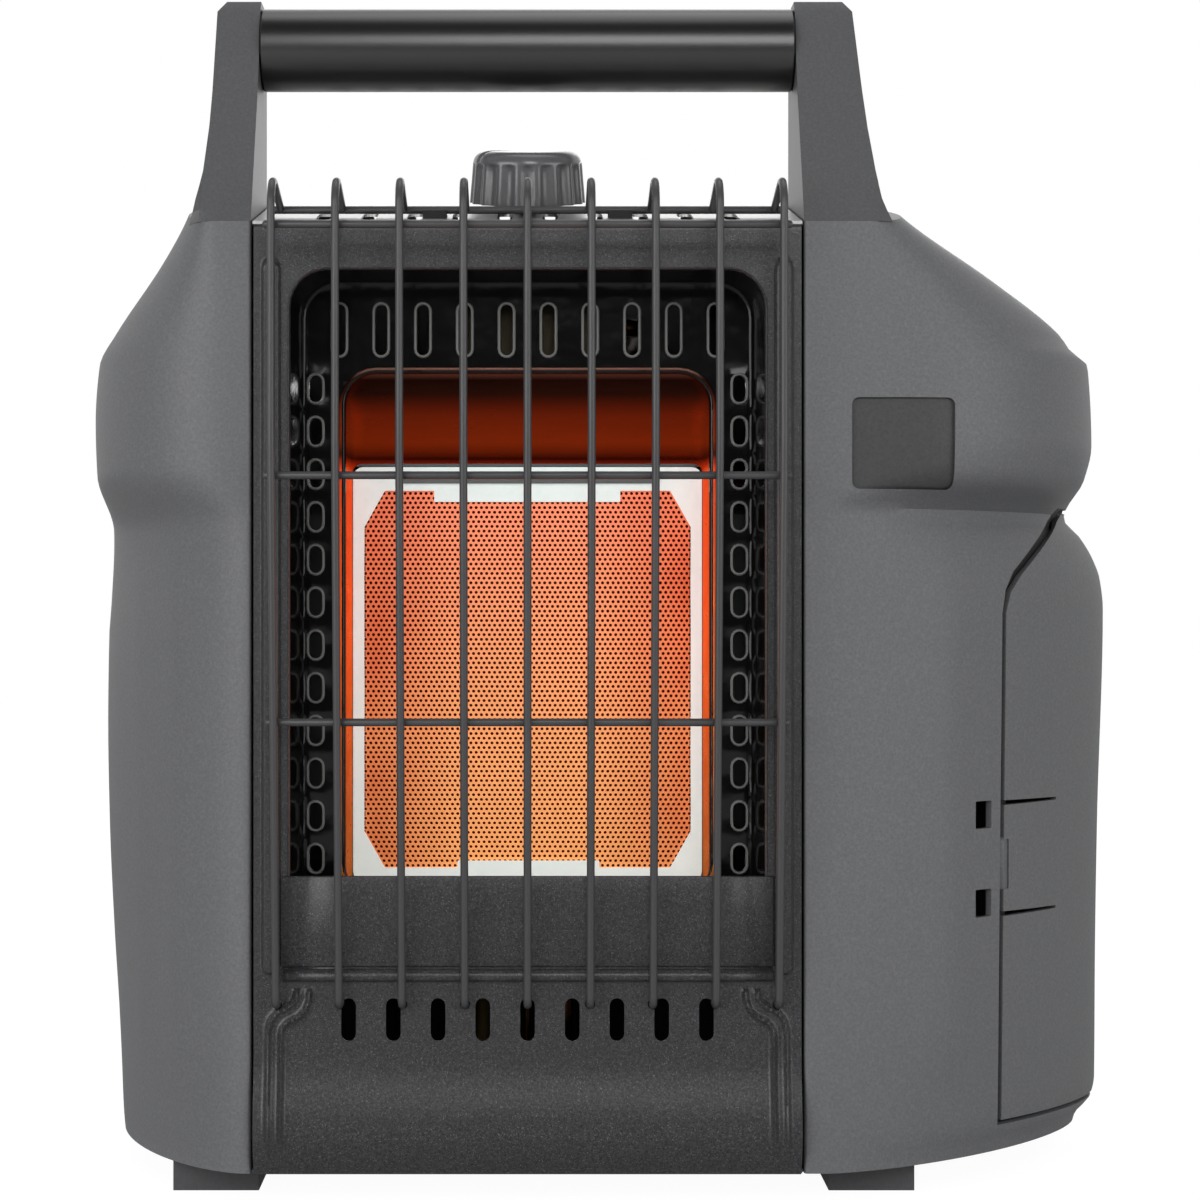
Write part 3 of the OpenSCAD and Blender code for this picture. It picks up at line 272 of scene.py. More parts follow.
def cut_out(bm, outline, keep=None, spare=None):
    """Removes the faces inside a convex outline and returns the edges of the hole."""
    faces = score(bm, outline, keep)
    if spare is not None:
        faces = [f for f in faces if not spare(f.calc_center_median())]
    gone = set(faces)
    rim = {e for f in faces for e in f.edges if any(g not in gone for g in e.link_faces)}
    bmesh.ops.delete(bm, geom=faces, context="FACES")
    return [e for e in rim if e.is_valid]


def recess(bm, outline, move, keep=None):
    """Presses the faces inside a convex outline in by a vector."""
    faces = score(bm, outline, keep)
    verts = only_verts(bmesh.ops.extrude_face_region(bm, geom=faces)["geom"])
    bmesh.ops.translate(bm, verts=verts, vec=move)
    left = [f for f in faces if f.is_valid]
    if left:
        bmesh.ops.delete(bm, geom=left, context="FACES")
    return verts


def round_rect(x, z, width, height, radius, steps):
    """Outline of a rounded rectangle around a middle, anticlockwise."""
    points = []
    for corner, (sx, sz) in enumerate(((1, 1), (-1, 1), (-1, -1), (1, -1))):
        cx = sx * (width / 2 - radius)
        cz = sz * (height / 2 - radius)
        for i in range(steps + 1):
            a = math.radians(90 * corner + 90 * i / steps)
            points.append((x + (cx + radius * math.cos(a)), z + (cz + radius * math.sin(a))))
    return points


def upright_slot(x, z, width, height, steps=6):
    """Outline of an upright slot with round ends."""
    points = []
    reach = height / 2 - width / 2
    for end in (0, 1):
        for i in range(steps + 1):
            a = math.radians(180 * end + 180 * i / steps)
            points.append((x + width / 2 * math.cos(a),
                           z + (reach if end == 0 else -reach) + width / 2 * math.sin(a)))
    return points


def outward(x, z, core):
    """Direction away from a rectangle's core at a point on a rounded outline around it."""
    cx = max(core[0], min(core[1], x))
    cz = max(core[2], min(core[3], z))
    away = Vector((x - cx, z - cz))
    return away.normalized() if away.length > 1e-9 else Vector((0, 0))


def away_from(core, out, depth):
    """A rim step: moves a point away from the core and sets its depth."""
    def step(p):
        n = outward(p.x, p.z, core)
        return Vector((p.x + n.x * out, depth, p.z + n.y * out))
    return step


def pushed(core, out, rise):
    """A rim step: moves a point away from the core and adds to its depth."""
    def step(p):
        n = outward(p.x, p.z, core)
        return Vector((p.x + n.x * out, p.y + rise, p.z + n.y * out))
    return step


def moved(x, y, z):
    """A rim step: moves a point."""
    return lambda p: p + Vector((x, y, z))


def grid_sheet(bm, xs, zs, depth):
    """A sheet of faces on lines of x and z, with its depth as a function."""
    loft(bm, [[(x, depth(x, z), z) for x in xs] for z in zs])


def lines(*runs):
    """Positions from runs of (start, end, largest step)."""
    places = []
    for start, end, step in runs:
        count = max(1, round((end - start) / step))
        places += [start + (end - start) * i / count for i in range(count + 1)]
    return sorted({round(p, 4) for p in places})


def face_out(bm, middle):
    """Points the faces away from a middle."""
    bmesh.ops.recalc_face_normals(bm, faces=bm.faces)
    votes = sum(f.calc_area() * (f.calc_center_median() - middle).normalized().dot(f.normal)
                for f in bm.faces)
    if votes < 0:
        bmesh.ops.reverse_faces(bm, faces=bm.faces)


def eased(t):
    """A smooth step from 0 to 1."""
    t = max(0.0, min(1.0, t))
    return t * t * (3 - 2 * t)


def settle(bm):
    """Puts a mesh's elements in the order of their places, which is the same in every run."""
    for elements, key in ((bm.verts, lambda v: [round(c, 3) for c in v.co]),
                          (bm.edges, lambda e: sorted(v.index for v in e.verts)),
                          (bm.faces, lambda f: sorted(v.index for v in f.verts))):
        for index, element in enumerate(sorted(elements, key=key)):
            element.index = index
        elements.sort()


def tidy(bm, distance=0.002):
    """Merges what lies together and dissolves what has no size."""
    settle(bm)
    bmesh.ops.remove_doubles(bm, verts=bm.verts, dist=distance)
    bmesh.ops.dissolve_degenerate(bm, dist=distance / 2, edges=bm.edges)


def piece(bm, name, finish, nodes=(), body="heater", wall=None, bevel=None,
          segments=2, sharp=38.0, placed=False, even=True):
    """Makes an object of a mesh in workshop coordinates, parents it to its body's empty and hides
    the construction nodes it stands for.

    The wall is in metres and the bevel in millimetres; a placed mesh is already in metres.
    """
    if not bm.faces:
        raise RuntimeError(name + " has no faces")
    if not placed:
        settle(bm)
        bmesh.ops.transform(bm, matrix=PLACE, verts=bm.verts)
    mesh = bpy.data.meshes.new(name)
    bm.to_mesh(mesh)
    bm.free()
    mesh.shade_smooth()
    mesh.set_sharp_from_angle(angle=math.radians(sharp))
    obj = bpy.data.objects.new(name, mesh)
    bpy.context.scene.collection.objects.link(obj)
    for coat in finish if isinstance(finish, tuple) else (finish,):
        mesh.materials.append(coat)
    if wall:
        solid = obj.modifiers.new("Wall", "SOLIDIFY")
        solid.thickness = wall
        solid.offset = -1
        solid.use_even_offset = even
    if bevel:
        soft = obj.modifiers.new("Soft edges", "BEVEL")
        soft.width = bevel * MM
        soft.segments = segments
        soft.limit_method = "ANGLE"
        soft.angle_limit = math.radians(sharp)
        soft.harden_normals = True
    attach(obj, body)
    if nodes:
        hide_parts(*nodes)
    return obj


def dressed(node, finish, bevel=0.4, segments=2, shift=None, splits=()):
    """A merged copy of a construction node with softened edges stands for it.

    Splits are planes (point, normal) that cut its faces, and shift is a function that moves a
    workshop point by a vector.
    """
    bm = bmesh.new()
    bm.from_mesh(frame["nodes"][node].data)
    bmesh.ops.remove_doubles(bm, verts=bm.verts, dist=2e-6)
    bmesh.ops.dissolve_limit(bm, angle_limit=math.radians(FLAT_ANGLE), verts=bm.verts,
                             edges=bm.edges)
    for point, normal in splits:
        bmesh.ops.bisect_plane(bm, geom=everything(bm), dist=1e-7,
                               plane_co=PLACE @ Vector(point), plane_no=normal)
    if shift:
        for vert in bm.verts:
            vert.co += shift(UNPLACE @ vert.co) * MM
    return piece(bm, node + "_made", finish, (node,), bevel=bevel, segments=segments,
                 sharp=32.0, placed=True)


# ---------- finishes ----------

# Heights in workshop millimetres between which the burner's and the reflector's colours run,
# and the reflector's colours at shares of that height: its heat tint with the burner's light
# painted in, brightest beside the burner, with painted shade in dark bands near its top, and a
# painted glow in its emission
GLOW_HEIGHTS = (104, 238)
STAIN_AND_GLOW_HEIGHTS = (100, 277)
# Base colours of the reflector: red and brown heat tint with the burner's light painted in,
# brightest at 0.55 beside the burner; the dark bands at 0.84 and at 0.955 to 0.985 are painted
# shade.
STAIN_AND_PAINTED_LIGHT_COLOURS = (
    (0.0, (0.42, 0.12, 0.002)), (0.3, (0.60, 0.12, 0.004)), (0.55, (0.85, 0.13, 0.02)),
    (0.81, (0.75, 0.08, 0.025)), (0.84, (0.05, 0.008, 0.003)), (0.87, (0.17, 0.022, 0.006)),
    (0.92, (0.14, 0.018, 0.006)), (0.955, (0.03, 0.008, 0.005)), (0.985, (0.015, 0.006, 0.004)),
    (1.0, (0.25, 0.12, 0.09)))
# Emission colours of the reflector: a painted glow standing for the burner's light on the steel,
# dark where the base colours carry painted shade.
PAINTED_BURNER_GLOW = (
    (0.0, (0.20, 0.055, 0.0)), (0.45, (0.90, 0.08, 0.0)), (0.81, (0.90, 0.05, 0.004)),
    (0.84, (0.02, 0.002, 0.001)), (0.87, (0.20, 0.022, 0.002)), (0.92, (0.14, 0.014, 0.002)),
    (0.96, (0.0, 0.0, 0.0)))
EVEN = (1.0, 1.0, 1.0)
ACROSS = (14.0, 1.0, 1.0)


def shader_group(name, inputs, outputs):
    """An empty node group with float, vector or colour sockets."""
    tree = bpy.data.node_groups.new(name, "ShaderNodeTree")
    for label, kind, value in inputs:
        made = tree.interface.new_socket(label, in_out="INPUT", socket_type=kind)
        if value is not None:
            made.default_value = value
    for label, kind in outputs:
        tree.interface.new_socket(label, in_out="OUTPUT", socket_type=kind)
    return tree, tree.nodes.new("NodeGroupInput"), tree.nodes.new("NodeGroupOutput")


def math_node(tree, kind, a, b=None):
    """The result of a sum on numbers or sockets."""
    node = tree.nodes.new("ShaderNodeMath")
    node.operation = kind
    for index, value in enumerate((a, b)):
        if value is None:
            continue
        if isinstance(value, (int, float)):
            node.inputs[index].default_value = value
        else:
            tree.links.new(value, node.inputs[index])
    return node.outputs[0]


def noise(tree, vector, scale, detail=2.0, rough=0.5):
    """Soft noise from 0 to 1."""
    node = tree.nodes.new("ShaderNodeTexNoise")
    node.inputs["Detail"].default_value = detail
    node.inputs["Roughness"].default_value = rough
    tree.links.new(vector, node.inputs["Vector"])
    if isinstance(scale, (int, float)):
        node.inputs["Scale"].default_value = scale
    else:
        tree.links.new(scale, node.inputs["Scale"])
    return node.outputs["Fac"]


def group_named(name):
    """Lets a node group be built once under its name."""
    def wrap(build):
        return lambda: bpy.data.node_groups.get(name) or build(name)
    return wrap


@group_named("Surface grain")
def grain_group(name):
    """Fine pebbled grain of moulded plastic or powder coat."""
    tree, start, end = shader_group(
        name, (("Vector", "NodeSocketVector", None), ("Scale", "NodeSocketFloat", 1800.0),
               ("Contrast", "NodeSocketFloat", 0.5)),
        (("Height", "NodeSocketFloat"), ("Shade", "NodeSocketFloat")))
    fine = noise(tree, start.outputs["Vector"], start.outputs["Scale"], 2.0, 0.6)
    cells = tree.nodes.new("ShaderNodeTexVoronoi")
    cells.feature = "SMOOTH_F1"
    tree.links.new(start.outputs["Vector"], cells.inputs["Vector"])
    tree.links.new(math_node(tree, "MULTIPLY", start.outputs["Scale"], 0.55),
                   cells.inputs["Scale"])
    height = math_node(tree, "ADD", math_node(tree, "MULTIPLY", fine, 0.6),
                       math_node(tree, "MULTIPLY", cells.outputs["Distance"], 0.5))
    shade = math_node(tree, "ADD", 0.5, math_node(
        tree, "MULTIPLY", math_node(tree, "SUBTRACT", height, 0.55), start.outputs["Contrast"]))
    tree.links.new(height, end.inputs["Height"])
    tree.links.new(shade, end.inputs["Shade"])
    return tree


@group_named("Handling marks")
def marks_group(name):
    """Broad cloudy patches from handling, dust and uneven heat."""
    tree, start, end = shader_group(
        name, (("Vector", "NodeSocketVector", None), ("Scale", "NodeSocketFloat", 14.0),
               ("Amount", "NodeSocketFloat", 0.3)), (("Mask", "NodeSocketFloat"),))
    broad = noise(tree, start.outputs["Vector"], start.outputs["Scale"], 4.0, 0.6)
    mask = math_node(tree, "ADD", 0.5, math_node(
        tree, "MULTIPLY", math_node(tree, "SUBTRACT", broad, 0.5), start.outputs["Amount"]))
    tree.links.new(mask, end.inputs["Mask"])
    return tree


@group_named("Metal flakes")
def flakes_group(name):
    """Sparse bright flakes in a powder coat."""
    tree, start, end = shader_group(
        name, (("Vector", "NodeSocketVector", None), ("Scale", "NodeSocketFloat", 1400.0),
               ("Sparseness", "NodeSocketFloat", 0.62)), (("Mask", "NodeSocketFloat"),))
    fine = noise(tree, start.outputs["Vector"], start.outputs["Scale"], 1.0, 0.4)
    over = math_node(tree, "SUBTRACT", fine, start.outputs["Sparseness"])
    mask = math_node(tree, "MINIMUM", math_node(
        tree, "MAXIMUM", math_node(tree, "MULTIPLY", over, 9.0), 0.0), 1.0)
    tree.links.new(mask, end.inputs["Mask"])
    return tree


def place_group(tree, group, vector, **values):
    """A node group in a material, with its own values."""
    node = tree.nodes.new("ShaderNodeGroup")
    node.node_tree = group
    tree.links.new(vector, node.inputs["Vector"])
    for label, value in values.items():
        node.inputs[label.replace("_", " ")].default_value = value
    return node


def mixed(tree, factor, a, b):
    """A colour between two colours or sockets."""
    node = tree.nodes.new("ShaderNodeMix")
    node.data_type = "RGBA"
    tree.links.new(factor, node.inputs["Factor"])
    for label, value in (("A", a), ("B", b)):
        socket = [s for s in node.inputs if s.name == label and s.type == "RGBA"][0]
        if isinstance(value, tuple):
            socket.default_value = (*value[:3], 1.0)
        else:
            tree.links.new(value, socket)
    return [s for s in node.outputs if s.type == "RGBA"][0]


def spread(tree, value, low, high):
    """Maps 0..1 to low..high."""
    node = tree.nodes.new("ShaderNodeMapRange")
    tree.links.new(value, node.inputs["Value"])
    node.inputs["To Min"].default_value = low
    node.inputs["To Max"].default_value = high
    return node.outputs["Result"]


def tinted(colour, factor):
    """A colour made lighter or darker."""
    return tuple(min(1.0, c * factor) for c in colour[:3])


def earlier(name):
    """The finish of this name if it has been mixed already."""
    return bpy.data.materials.get(name + "_finish")


def mixed_once(mix):
    """Lets a finish be mixed once under its name."""
    def finish(name, *values, **named):
        return earlier(name) or mix(name, *values, **named)
    return finish


def new_material(name):
    """An empty finish: the material, its tree, its shader and the place on the object."""
    material = bpy.data.materials.new(name + "_finish")
    material.use_nodes = True
    tree = material.node_tree
    shader = tree.nodes["Principled BSDF"]
    where = tree.nodes.new("ShaderNodeTexCoord").outputs["Object"]
    return material, tree, shader, where


def add_bump(tree, shader, height, distance, strength=1.0):
    """Relief from a height; the distance is in metres."""
    bump = tree.nodes.new("ShaderNodeBump")
    bump.inputs["Distance"].default_value = distance
    bump.inputs["Strength"].default_value = strength
    tree.links.new(height, bump.inputs["Height"])
    tree.links.new(bump.outputs["Normal"], shader.inputs["Normal"])


@mixed_once
def moulded(name, colour, roughness, scale, depth, contrast, gloss=0.5):
    """Grained moulded plastic."""
    material, tree, shader, where = new_material(name)
    grain = place_group(tree, grain_group(), where, Scale=scale, Contrast=contrast)
    marks = place_group(tree, marks_group(), where, Scale=11.0, Amount=0.5)
    tone = mixed(tree, grain.outputs["Shade"], tinted(colour, 0.6), tinted(colour, 1.5))
    tree.links.new(mixed(tree, spread(tree, marks.outputs["Mask"], 0.0, 0.4), tone,
                         tinted(colour, 0.96)), shader.inputs["Base Color"])
    tree.links.new(spread(tree, marks.outputs["Mask"], roughness - 0.06, roughness + 0.06),
                   shader.inputs["Roughness"])
    shader.inputs["Specular IOR Level"].default_value = gloss
    add_bump(tree, shader, grain.outputs["Height"], depth)
    return material


@mixed_once
def powder_coat(name, colour, roughness=0.36):
    """Textured powder coat with fine bright flakes."""
    material, tree, shader, where = new_material(name)
    grain = place_group(tree, grain_group(), where, Scale=2100.0, Contrast=2.0)
    flakes = place_group(tree, flakes_group(), where, Scale=2300.0, Sparseness=0.62)
    marks = place_group(tree, marks_group(), where, Scale=9.0, Amount=0.6)
    tone = mixed(tree, grain.outputs["Shade"], tinted(colour, 0.32), tinted(colour, 1.6))
    lit = mixed(tree, flakes.outputs["Mask"], tone, tinted(colour, 3.4))
    tree.links.new(lit, shader.inputs["Base Color"])
    tree.links.new(spread(tree, marks.outputs["Mask"], roughness - 0.08, roughness + 0.08),
                   shader.inputs["Roughness"])
    shader.inputs["Specular IOR Level"].default_value = 0.5
    add_bump(tree, shader, grain.outputs["Height"], 0.00005)
    return material


@mixed_once
def gloss_enamel(name, colour):
    """Wavy black vitreous enamel."""
    material, tree, shader, where = new_material(name)
    waves = noise(tree, where, 90.0, 2.0, 0.5)
    marks = place_group(tree, marks_group(), where, Scale=40.0, Amount=0.6)
    tree.links.new(mixed(tree, marks.outputs["Mask"], tinted(colour, 0.35), tinted(colour, 0.8)),
                   shader.inputs["Base Color"])
    tree.links.new(spread(tree, marks.outputs["Mask"], 0.08, 0.18), shader.inputs["Roughness"])
    shader.inputs["Specular IOR Level"].default_value = 0.32
    add_bump(tree, shader, waves, 0.0005, 0.6)
    return material


@mixed_once
def metal(name, colour, roughness, brushed=0.0, scale=260.0, stretch=(1.0, 1.0, 14.0)):
    """Bare, plated or cast metal with a grain along one way."""
    material, tree, shader, where = new_material(name)
    mapping = tree.nodes.new("ShaderNodeMapping")
    mapping.inputs["Scale"].default_value = stretch
    tree.links.new(where, mapping.inputs["Vector"])
    streaks = noise(tree, mapping.outputs["Vector"], scale, 3.0, 0.6)
    marks = place_group(tree, marks_group(), where, Scale=30.0, Amount=0.9)
    tree.links.new(mixed(tree, marks.outputs["Mask"], tinted(colour, 0.82), tinted(colour, 1.12)),
                   shader.inputs["Base Color"])
    tree.links.new(spread(tree, streaks, max(0.05, roughness - 0.1), roughness + 0.12),
                   shader.inputs["Roughness"])
    shader.inputs["Metallic"].default_value = 1.0
    if brushed:
        add_bump(tree, shader, streaks, brushed)
    return material


def up_ramp(tree, where, low, high, stops):
    """Colours from a height to another, in workshop millimetres."""
    split = tree.nodes.new("ShaderNodeSeparateXYZ")
    tree.links.new(where, split.inputs[0])
    level = tree.nodes.new("ShaderNodeMapRange")
    level.inputs["From Min"].default_value = low * MM
    level.inputs["From Max"].default_value = high * MM
    tree.links.new(split.outputs["Z"], level.inputs["Value"])
    ramp = tree.nodes.new("ShaderNodeValToRGB")
    elements = ramp.color_ramp.elements
    while len(elements) < len(stops):
        elements.new(0.5)
    for element, (place, colour) in zip(elements, stops):
        element.position = place
        element.color = (*colour, 1.0)
    tree.links.new(level.outputs["Result"], ramp.inputs["Fac"])
    return ramp.outputs["Color"]


def from_middle(tree, where, near, far, most):
    """A factor that rises to the most between two distances from the heater's middle plane."""
    split = tree.nodes.new("ShaderNodeSeparateXYZ")
    tree.links.new(where, split.inputs[0])
    off = math_node(tree, "ABSOLUTE", math_node(tree, "SUBTRACT", split.outputs["X"], FRONT_X))
    level = tree.nodes.new("ShaderNodeMapRange")
    level.inputs["From Min"].default_value = near * MM
    level.inputs["From Max"].default_value = far * MM
    level.inputs["To Max"].default_value = most
    tree.links.new(off, level.inputs["Value"])
    return level.outputs["Result"]


@mixed_once
def glowing_ceramic(name, low_colour, top_colour):
    """Burner face, salmon red above and orange below, with its glow painted into the base colour as
    well as given as a weak emission, darker red towards its sides.
    """
    material, tree, shader, where = new_material(name)
    between = tuple(0.75 * a + 0.25 * b for a, b in zip(low_colour, top_colour))
    warm = up_ramp(tree, where, *GLOW_HEIGHTS,
                   ((0.0, low_colour), (0.35, between), (1.0, top_colour)))
    patches = place_group(tree, marks_group(), where, Scale=28.0, Amount=1.4)
    glow = mixed(tree, patches.outputs["Mask"], tinted(low_colour, 0.5), warm)
    even = mixed(tree, spread(tree, patches.outputs["Mask"], 0.75, 0.95), glow, warm)
    edge = math_node(tree, "MULTIPLY", from_middle(tree, where, 25, 58, 0.9), math_node(
        tree, "ADD", patches.outputs["Mask"], 0.15))
    even = mixed(tree, edge, even, (0.55, 0.07, 0.02))
    # The glow colour goes into the base colour too: painted glow that the lamps light up, beside
    # the weak emission.
    tree.links.new(even, shader.inputs["Base Color"])
    tree.links.new(even, shader.inputs["Emission Color"])
    shader.inputs["Emission Strength"].default_value = 0.3
    shader.inputs["Roughness"].default_value = 0.85
    shader.inputs["Specular IOR Level"].default_value = 0.1
    pits = place_group(tree, grain_group(), where, Scale=2600.0, Contrast=0.4)
    add_bump(tree, shader, pits.outputs["Height"], 0.00003)
    return material


@mixed_once
def hole_shade(name):
    """Painted shade at the bottom of the burner's holes: dark brown, a little darker higher up,
    with darker patches.
    """
    material, tree, shader, where = new_material(name)
    warm = up_ramp(tree, where, *GLOW_HEIGHTS,
                   ((0.0, (0.09, 0.02, 0.006)), (1.0, (0.06, 0.008, 0.005))))
    patches = place_group(tree, marks_group(), where, Scale=60.0, Amount=0.8)
    tree.links.new(mixed(tree, patches.outputs["Mask"], (0.02, 0.004, 0.002), warm),
                   shader.inputs["Base Color"])
    shader.inputs["Roughness"].default_value = 0.95
    shader.inputs["Specular IOR Level"].default_value = 0.05
    return material


@mixed_once
def heat_tint_with_painted_glow(name):
    """Reflector steel tinted red and brown by heat, with the burner's light painted on: brighter
    colour and a painted glow along its sides, painted shade in dark bands near its top.
    """
    material, tree, shader, where = new_material(name)
    # Heat tint with painted burner light and painted shade, by height.
    tint_and_painted_light = up_ramp(tree, where, *STAIN_AND_GLOW_HEIGHTS, STAIN_AND_PAINTED_LIGHT_COLOURS)
    mapping = tree.nodes.new("ShaderNodeMapping")
    mapping.inputs["Scale"].default_value = (0.6, 1.0, 3.0)
    tree.links.new(where, mapping.inputs["Vector"])
    clouds = noise(tree, mapping.outputs["Vector"], 45.0, 4.0, 0.6)
    tone = mixed(tree, spread(tree, clouds, -0.1, 0.6), tint_and_painted_light, (0.05, 0.012, 0.006))
    tree.links.new(tone, shader.inputs["Base Color"])
    # A painted glow in the emission: the burner's light on the steel, which is no lamp.
    glow = up_ramp(tree, where, *STAIN_AND_GLOW_HEIGHTS, PAINTED_BURNER_GLOW)
    tree.links.new(glow, shader.inputs["Emission Color"])
    shader.inputs["Emission Strength"].default_value = 0.4
    shader.inputs["Metallic"].default_value = 0.5
    shader.inputs["Specular IOR Level"].default_value = 0.0
    shader.inputs["Specular Tint"].default_value = (1.0, 0.34, 0.08, 1.0)
    tree.links.new(spread(tree, clouds, 0.18, 0.42), shader.inputs["Roughness"])
    add_bump(tree, shader, clouds, 0.0006, 0.5)
    return material


@mixed_once
def fibre(name):
    """White ceramic fibre, a little crumbly, brightened by a painted pale cyan glow in its
    emission.
    """
    material, tree, shader, where = new_material(name)
    grain = place_group(tree, grain_group(), where, Scale=900.0, Contrast=0.9)
    cracks = noise(tree, where, 160.0, 5.0, 0.7)
    tone = mixed(tree, grain.outputs["Shade"], (0.66, 0.62, 0.56), (0.92, 0.90, 0.86))
    tree.links.new(mixed(tree, spread(tree, cracks, 0.0, 0.35), tone, (0.62, 0.60, 0.56)),
                   shader.inputs["Base Color"])
    # Emission: painted light that brightens the fibre and offsets the red glow it takes from the
    # reflector.
    tree.links.new(mixed(tree, grain.outputs["Shade"], (0.54, 0.80, 0.82),
                         (0.68, 0.96, 0.94)),
                   shader.inputs["Emission Color"])
    shader.inputs["Emission Strength"].default_value = 0.42
    shader.inputs["Roughness"].default_value = 0.9
    add_bump(tree, shader, cracks, 0.0003, 0.7)
    return material


def shells_finish():
    """Grey plastic of both side shells."""
    colour = tinted(bpy.context.scene.heater_colours.shell, 1.03)
    return moulded("shell_plastic", colour, 0.52, 2100.0, 0.00006, 1.1)


def powder_finish():
    """Powder coat of the front panel, the lip plate and the sheets behind them."""
    return powder_coat("powder_coat", tinted(bpy.context.scene.heater_colours.powder, 0.73))


def galvanised_finish():
    """Zinc sheet inside the case, darkened as painted shade."""
    return metal("galvanised_sheet", tinted(slot_colour("galvanised"), 0.32), 0.42, 0.00002,
                 90.0, stretch=EVEN)


def hardware_finish():
    """Zinc plate of the screws, bolts and rods."""
    return metal("zinc_hardware", slot_colour("hardware"), 0.3)


# ---------- shells ----------

# Each section: height, end of the flat front, reach from the middle, depth of the round front
# and its power
LEFT_SECTIONS = (
    (10.5, 92.1, 145.2, 86, 1.58), (14.5, 92.1, 146.2, 89, 1.54), (38, 92.1, 147.6, 91, 1.5),
    (55, 92.1, 148.6, 92, 1.5), (80, 92.1, 150.2, 92, 1.5),
    (120, 92.1, 152, 92, 1.5), (155, 92.1, 152.6, 92, 1.5), (186, 92.1, 152.2, 92, 1.5),
    (199, 92.1, 151.3, 92, 1.5), (224, 93.1, 150, 90, 1.55), (243, 100.1, 154, 86, 2),
    (262, 100.1, 154.5, 85, 2), (282, 100.1, 153, 85, 2), (292, 100.1, 146.6, 80, 2),
    (315, 102.1, 127.5, 66, 2), (330.2, 104.1, 116.6, 58, 2), (338.2, 105.1, 112.5, 54, 2))
RIGHT_SECTIONS = (
    (10.5, 98, 198.6, 92, 1.42), (13.5, 98, 199.6, 92, 1.42), (19.5, 98, 205, 92, 1.42),
    (26, 98, 206.5, 92, 1.42), (70, 98, 206.8, 92, 1.42), (120, 98, 207.6, 92, 1.42),
    (196, 98, 209.7, 92, 1.42), (207, 98, 208.5, 92, 1.42), (214, 98, 206, 92, 1.42),
    (222, 98, 201.5, 93, 1.42), (229, 98, 196, 95, 1.43), (242, 118, 200.8, 92, 1.95),
    (254, 122, 203.2, 92, 2), (282, 122, 201.8, 92, 2), (287, 122, 195.4, 90, 2),
    (292, 121, 191, 86, 2), (309, 118, 165.9, 76, 2), (326, 112, 135.2, 64, 2),
    (338.2, 109, 116, 58, 2))
# Soft upright creases in the shells: place from the middle, height and width
LEFT_FOLDS = ((119.3, 1.7, 8.0), (134.0, 1.1, 6.0))
RIGHT_FOLDS = ((141.5, 1.9, 10.0),)
SIDES = {-1: (LEFT_SECTIONS, LEFT_FOLDS), 1: (RIGHT_SECTIONS, RIGHT_FOLDS)}
FRONT_STEPS = 34
CORNER_STEPS = 8
REAR_RADIUS = 38.0
# Turn of the shell's front edge into the seam beside the panel: offsets from the seam in X and Y
SEAM_TURN = ((0.0, 5.0), (0.0, 1.1), (0.3, 0.4), (0.7, 0.1), (1.0, 0.0))
DOOR_REAR = 140.0
FAR = 260.0
REBATE_RISE = 226


def section_at(sections, z):
    """Section values at a height, eased through the given sections."""
    last = len(sections) - 1
    i = max(0, min(last - 1, sum(1 for s in sections if s[0] <= z) - 1))
    a, b = sections[i], sections[i + 1]
    before, after = sections[max(0, i - 1)], sections[min(last, i + 2)]
    step = b[0] - a[0]
    t = (z - a[0]) / step
    values = []
    for k in range(1, 5):
        chord = (b[k] - a[k]) / step
        slopes = []
        for p, q in ((before, a), (b, after)):
            other = (q[k] - p[k]) / (q[0] - p[0]) if q[0] > p[0] else chord
            slopes.append(0.0 if other * chord <= 0 else
                          2 * other * chord / (other + chord))
        h1, h2 = t * t * (3 - 2 * t), t * (1 - t) * (1 - t)
        h3 = t * t * (t - 1)
        values.append(a[k] + (b[k] - a[k]) * h1 + step * (slopes[0] * h2 + slopes[1] * h3))
    return values


def shell_outline(flat, reach, wide, power):
    """Half outline of a shell seen from above, from the front panel round to the rear cover."""
    points = [(SHELL_X + x, y) for x, y in SEAM_TURN]
    flat = max(flat, SHELL_X + 1.6)
    for i in range(FRONT_STEPS + 1):
        a = math.radians(90 * i / FRONT_STEPS)
        points.append((flat + (reach - flat) * math.sin(a) ** (2 / power),
                       wide * (1 - math.cos(a) ** (2 / power))))
    radius = min(REAR_RADIUS, reach - SHELL_X - 4)
    for i in range(CORNER_STEPS + 1):
        a = math.radians(90 * i / CORNER_STEPS)
        points.append((reach - radius * (1 - math.cos(a)),
                       BODY_DEPTH - radius + radius * math.sin(a)))
    points.append((SHELL_X, BODY_DEPTH))
    return points


def skin_depth(side, x, z):
    """How far a shell's skin lies behind the panel's face at a sideways place and height."""
    arc = shell_outline(*section_at(SIDES[side][0], z))[len(SEAM_TURN):]
    for (ax, ay), (bx, by) in zip(arc, arc[1:]):
        if ax < x <= bx:
            return ay + (by - ay) * (x - ax) / (bx - ax)
    return 0.0


def on_roof(vert):
    """Whether a vertex lies on the roof's top face."""
    return abs(vert.co.z - roof_height(vert.co.y)) < 0.02


